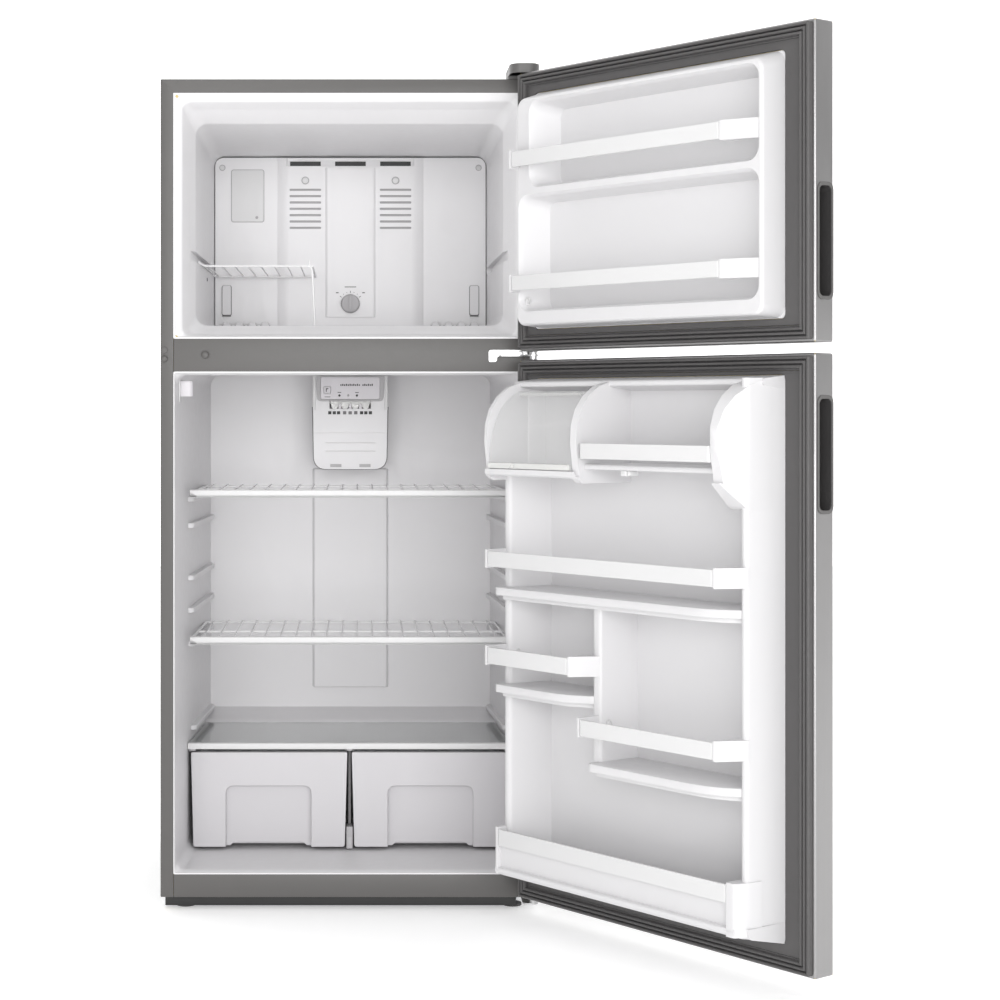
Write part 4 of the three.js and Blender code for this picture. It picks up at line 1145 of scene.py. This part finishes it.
def fridge_door_inside():
    door = FRIDGE_DOOR
    low, high = door["liner"]
    body = door["name"]
    parts = [prism(rect(47, 689, low, high, 9), "y", 0.4, 3)]
    hinge_side = [
        shaped([(50, 1), (58, 93), (75, 93), (96, 2)], [0, 8, 8, 0], "z", low + 34, 855),
        shaped([(50, 1), (54, 40), (66, 40), (80, 2)], [0, 6, 6, 0], "z", 850, high - 5),
    ]
    handle_side = shaped([(655, 2), (668, 93), (682, 93), (688, 1)], [0, 8, 8, 0], "z", low + 34, high - 5)
    top_edge = shaped(
        [(1, high), (58, high - 6), (60, high - 16), (2, high - 25)], [0, 7, 5, 0], "x", 50, 688
    )
    bottom_bin = [
        shaped([(1, low + 0.5), (91, 78), (94, 96), (2, 96)], [0, 6, 0, 0], "x", 50, 688),
        shaped(
            [(60, 71), (100, 79), (116, 86), (116, 96), (106, 98), (60, 98)], [0, 8, 6, 3, 3, 0], "x", 58, 674
        ),
        prism([(102, 92), (106, 92), (108, 139), (104, 139)], "x", 60, 672),
        shaped([(58, 60), (58, 116), (65.6, 116), (65.6, 60)], [0, 4, 1, 0], "z", 85, 174),
        shaped([(655.6, 60), (655.6, 116), (674, 116), (684, 90), (687, 60)], [0, 1, 6, 8, 0], "z", 82, 174),
    ]
    floors = ledge(60, 672, 636, 123, 90) + ledge(60, 312, 450, 123, 90) + ledge(318, 672, 332, 123, 90)
    upper_floor = shaped([(2, 868), (123, 868), (123, 878), (2, 878)], [0, 4, 5, 0], "x", 304, 650)
    dairy_tray = shaped(
        [(2, 851), (139, 851), (143, 855), (143, 864), (140, 864), (138, 858), (2, 858)],
        [0, 3, 2, 1, 1, 3, 0], "x", 60, 306,
    )
    divider = shaped([(300, 2), (305, 93), (326, 93), (331, 2)], [0, 7, 7, 0], "z", 326, 628)
    parts += [*hinge_side, handle_side, top_edge, *bottom_bin, *floors, upper_floor, dairy_tray, divider]
    parts += [fin(58, 66), fin(298, 314), handle_fin()]
    bars = [
        ("top", 322, 642, 143, 888, 916), ("middle", 66, 650, 143, 677, 706),
        ("left", 66, 290, 143, 491, 522), ("right", 322, 650, 143, 384, 413),
        ("bottom", 66, 655, 116, 139, 170),
    ]
    for word, u0, u1, front, z0, z1 in bars:
        if word in ("middle", "left", "right"):
            parts += bar_seats(u0, u1, front, z0, z1, 93, 324 if word == "left" else 683)
        bar("fridge_bar_" + word, u0, u1, front, z0, z1, body, "fridge_door_bar_" + word)
    piece("fridge_door_lining", parts, DOOR, body, LINER_WHITE_DARKENED, "fridge_door_liner", 1.8, 34)
    bar_clips("fridge_bar_clips", [(72, 694, 74), (72, 509, 74), (324, 401, 74)], body)
    catch = [block(404, 424, 92, 116, 858, 868, 2), block(407, 421, 116, 122, 858, 868, 2)]
    piece("bin_catch", catch, DOOR, body, TRIM)


def dairy_lid():
    """A clear curved lid with its pull edge and hinge rod."""
    a, b, c = Vector((139, 866)), Vector((136, 986)), Vector((62, 1012))
    curve = [a * (1 - s) ** 2 + b * 2 * s * (1 - s) + c * s * s for s in (k / 16 for k in range(17))]
    ways = [(q - p).normalized() for p, q in zip(curve, curve[1:])]
    ways.append(ways[-1])
    inner = [point + Vector((-way.y, way.x)) * 2.4 for point, way in zip(curve, ways)]
    sheet = prism([tuple(p) for p in curve + inner[::-1]], "x", 67.2, 296.8)
    piece("dairy_cover", sheet, DOOR, "dairy_flap", CLEAR, "dairy_lid", 0.5)
    # The pull edge is drawn in the whitish lens plastic, whose whiteness is a painted highlight along the
    # clear lid's edge.
    pull = shaped([(135, 865.5), (141, 865.5), (141, 876), (138.5, 876)], 1.2, "x", 67.2, 292)
    piece("dairy_pull", pull, DOOR, "dairy_flap", LENS, (), 0.5)
    rod = sweep([(68, 58, 1006), (296, 58, 1006)], 3, 12)
    piece("dairy_hinge_rod", rod, DOOR, "dairy_flap", LENS)


# ---- CAD nodes that keep their shape ----
def dress_cad():
    looks = {
        "back_panel": ZINC, "rear_cover": ZINC, "base_pan": ZINC, "insulation": FOAM,
        "freezer_door_insulation": FOAM, "fridge_door_insulation": FOAM, "top_hinge": PLATED,
        "evaporator_coil": ALUMINIUM, "evaporator_fan_motor": BLACK_PAINT_AND_SHADE, "evaporator_fan_blade": GRAY_PLASTIC_AND_SHADE,
        "defrost_heater": BLACK_PAINT_AND_SHADE, "compressor": BLACK_PAINT_AND_SHADE, "condenser_coil": COPPER, "condenser_fan_motor": BLACK_PAINT_AND_SHADE,
        "condenser_fan_blade": GRAY_PLASTIC_AND_SHADE, "drain_pan": DARK, "light_bulb": BULB, "levelling_foot_left": DARK,
        "levelling_foot_right": DARK, "rear_roller_left": DARK, "rear_roller_right": DARK,
    }
    for name, look in looks.items():
        node = frame["nodes"][name]
        node.data.materials.clear()
        node.data.materials.append(look)


# ---- Stage ----
def plane(name, size, place, turn, glow, tint):
    bpy.ops.mesh.primitive_plane_add(size=size, location=place, rotation=turn)
    thing = bpy.context.object
    thing.name = name
    nodes = Nodes(name + "_paint").set(Roughness=0.8, Emission_Color=(1, 1, 1, 1), Emission_Strength=glow)
    nodes.colour(nodes.between(nodes.noise(2), shade(tint, 0.99), tint))
    thing.data.materials.append(nodes.material)


def lamp(name, place, target, size, power):
    light = bpy.data.lights.new(name, "AREA")
    light.size = size
    light.energy = power
    thing = bpy.data.objects.new(name, light)
    thing.location = place
    thing.rotation_euler = (Vector(target) - thing.location).to_track_quat("-Z", "Y").to_euler()
    bpy.context.scene.collection.objects.link(thing)


def stage():
    plane("studio_floor", 60, (0, 0, 0), (0, 0, 0), 0.32, (0.92, 0.92, 0.92))
    plane("studio_backdrop", 60, (0, 9, 0), (math.pi / 2, 0, 0), 0.9, (0.9, 0.9, 0.9))
    world = bpy.data.worlds.new("studio")
    world.use_nodes = True
    world.node_tree.nodes["Background"].inputs["Color"].default_value = (1, 1, 1, 1)
    world.node_tree.nodes["Background"].inputs["Strength"].default_value = 0.62
    bpy.context.scene.world = world
    bpy.context.scene.view_settings.view_transform = "Standard"
    lamp("front_left", (-0.9, -5.2, 1.6), (0, 0.3, 0.9), 2.4, 78)
    lamp("front_right", (1.3, -5.0, 1.3), (-0.2, 0.3, 0.9), 2.4, 76)
    lamp("top", (-0.2, -0.9, 4.3), (-0.2, -0.5, 0), 3.2, 14)


def camera():
    lens = bpy.data.cameras.new("camera")
    lens.lens = 75.6
    lens.sensor_width = 36
    lens.shift_x = 0.1395
    lens.shift_y = -0.0937
    thing = bpy.data.objects.new("camera", lens)
    thing.location = CABINET @ Vector((23, -4206, 983.4))
    thing.rotation_euler = (math.pi / 2, 0, 0)
    bpy.context.scene.collection.objects.link(thing)
    bpy.context.scene.camera = thing


camera()
stage()
cabinet_body()
freezer_liner()
evaporator_cover()
freezer_knob()
freezer_shelf()
fridge_liner()
light_switch()
wire_shelf(1, 811, "fridge_shelf_upper")
wire_shelf(2, 507, "fridge_shelf_lower")
crisper_cover()
crisper_support()
crisper(-1, "left")
crisper(1, "right")
control_box()
hinges()
for each in (FREEZER_DOOR, FRIDGE_DOOR):
    door_shell(each)
    door_gasket(each)
    pocket_handle(each)
freezer_door_inside()
fridge_door_inside()
dairy_lid()
dress_cad()
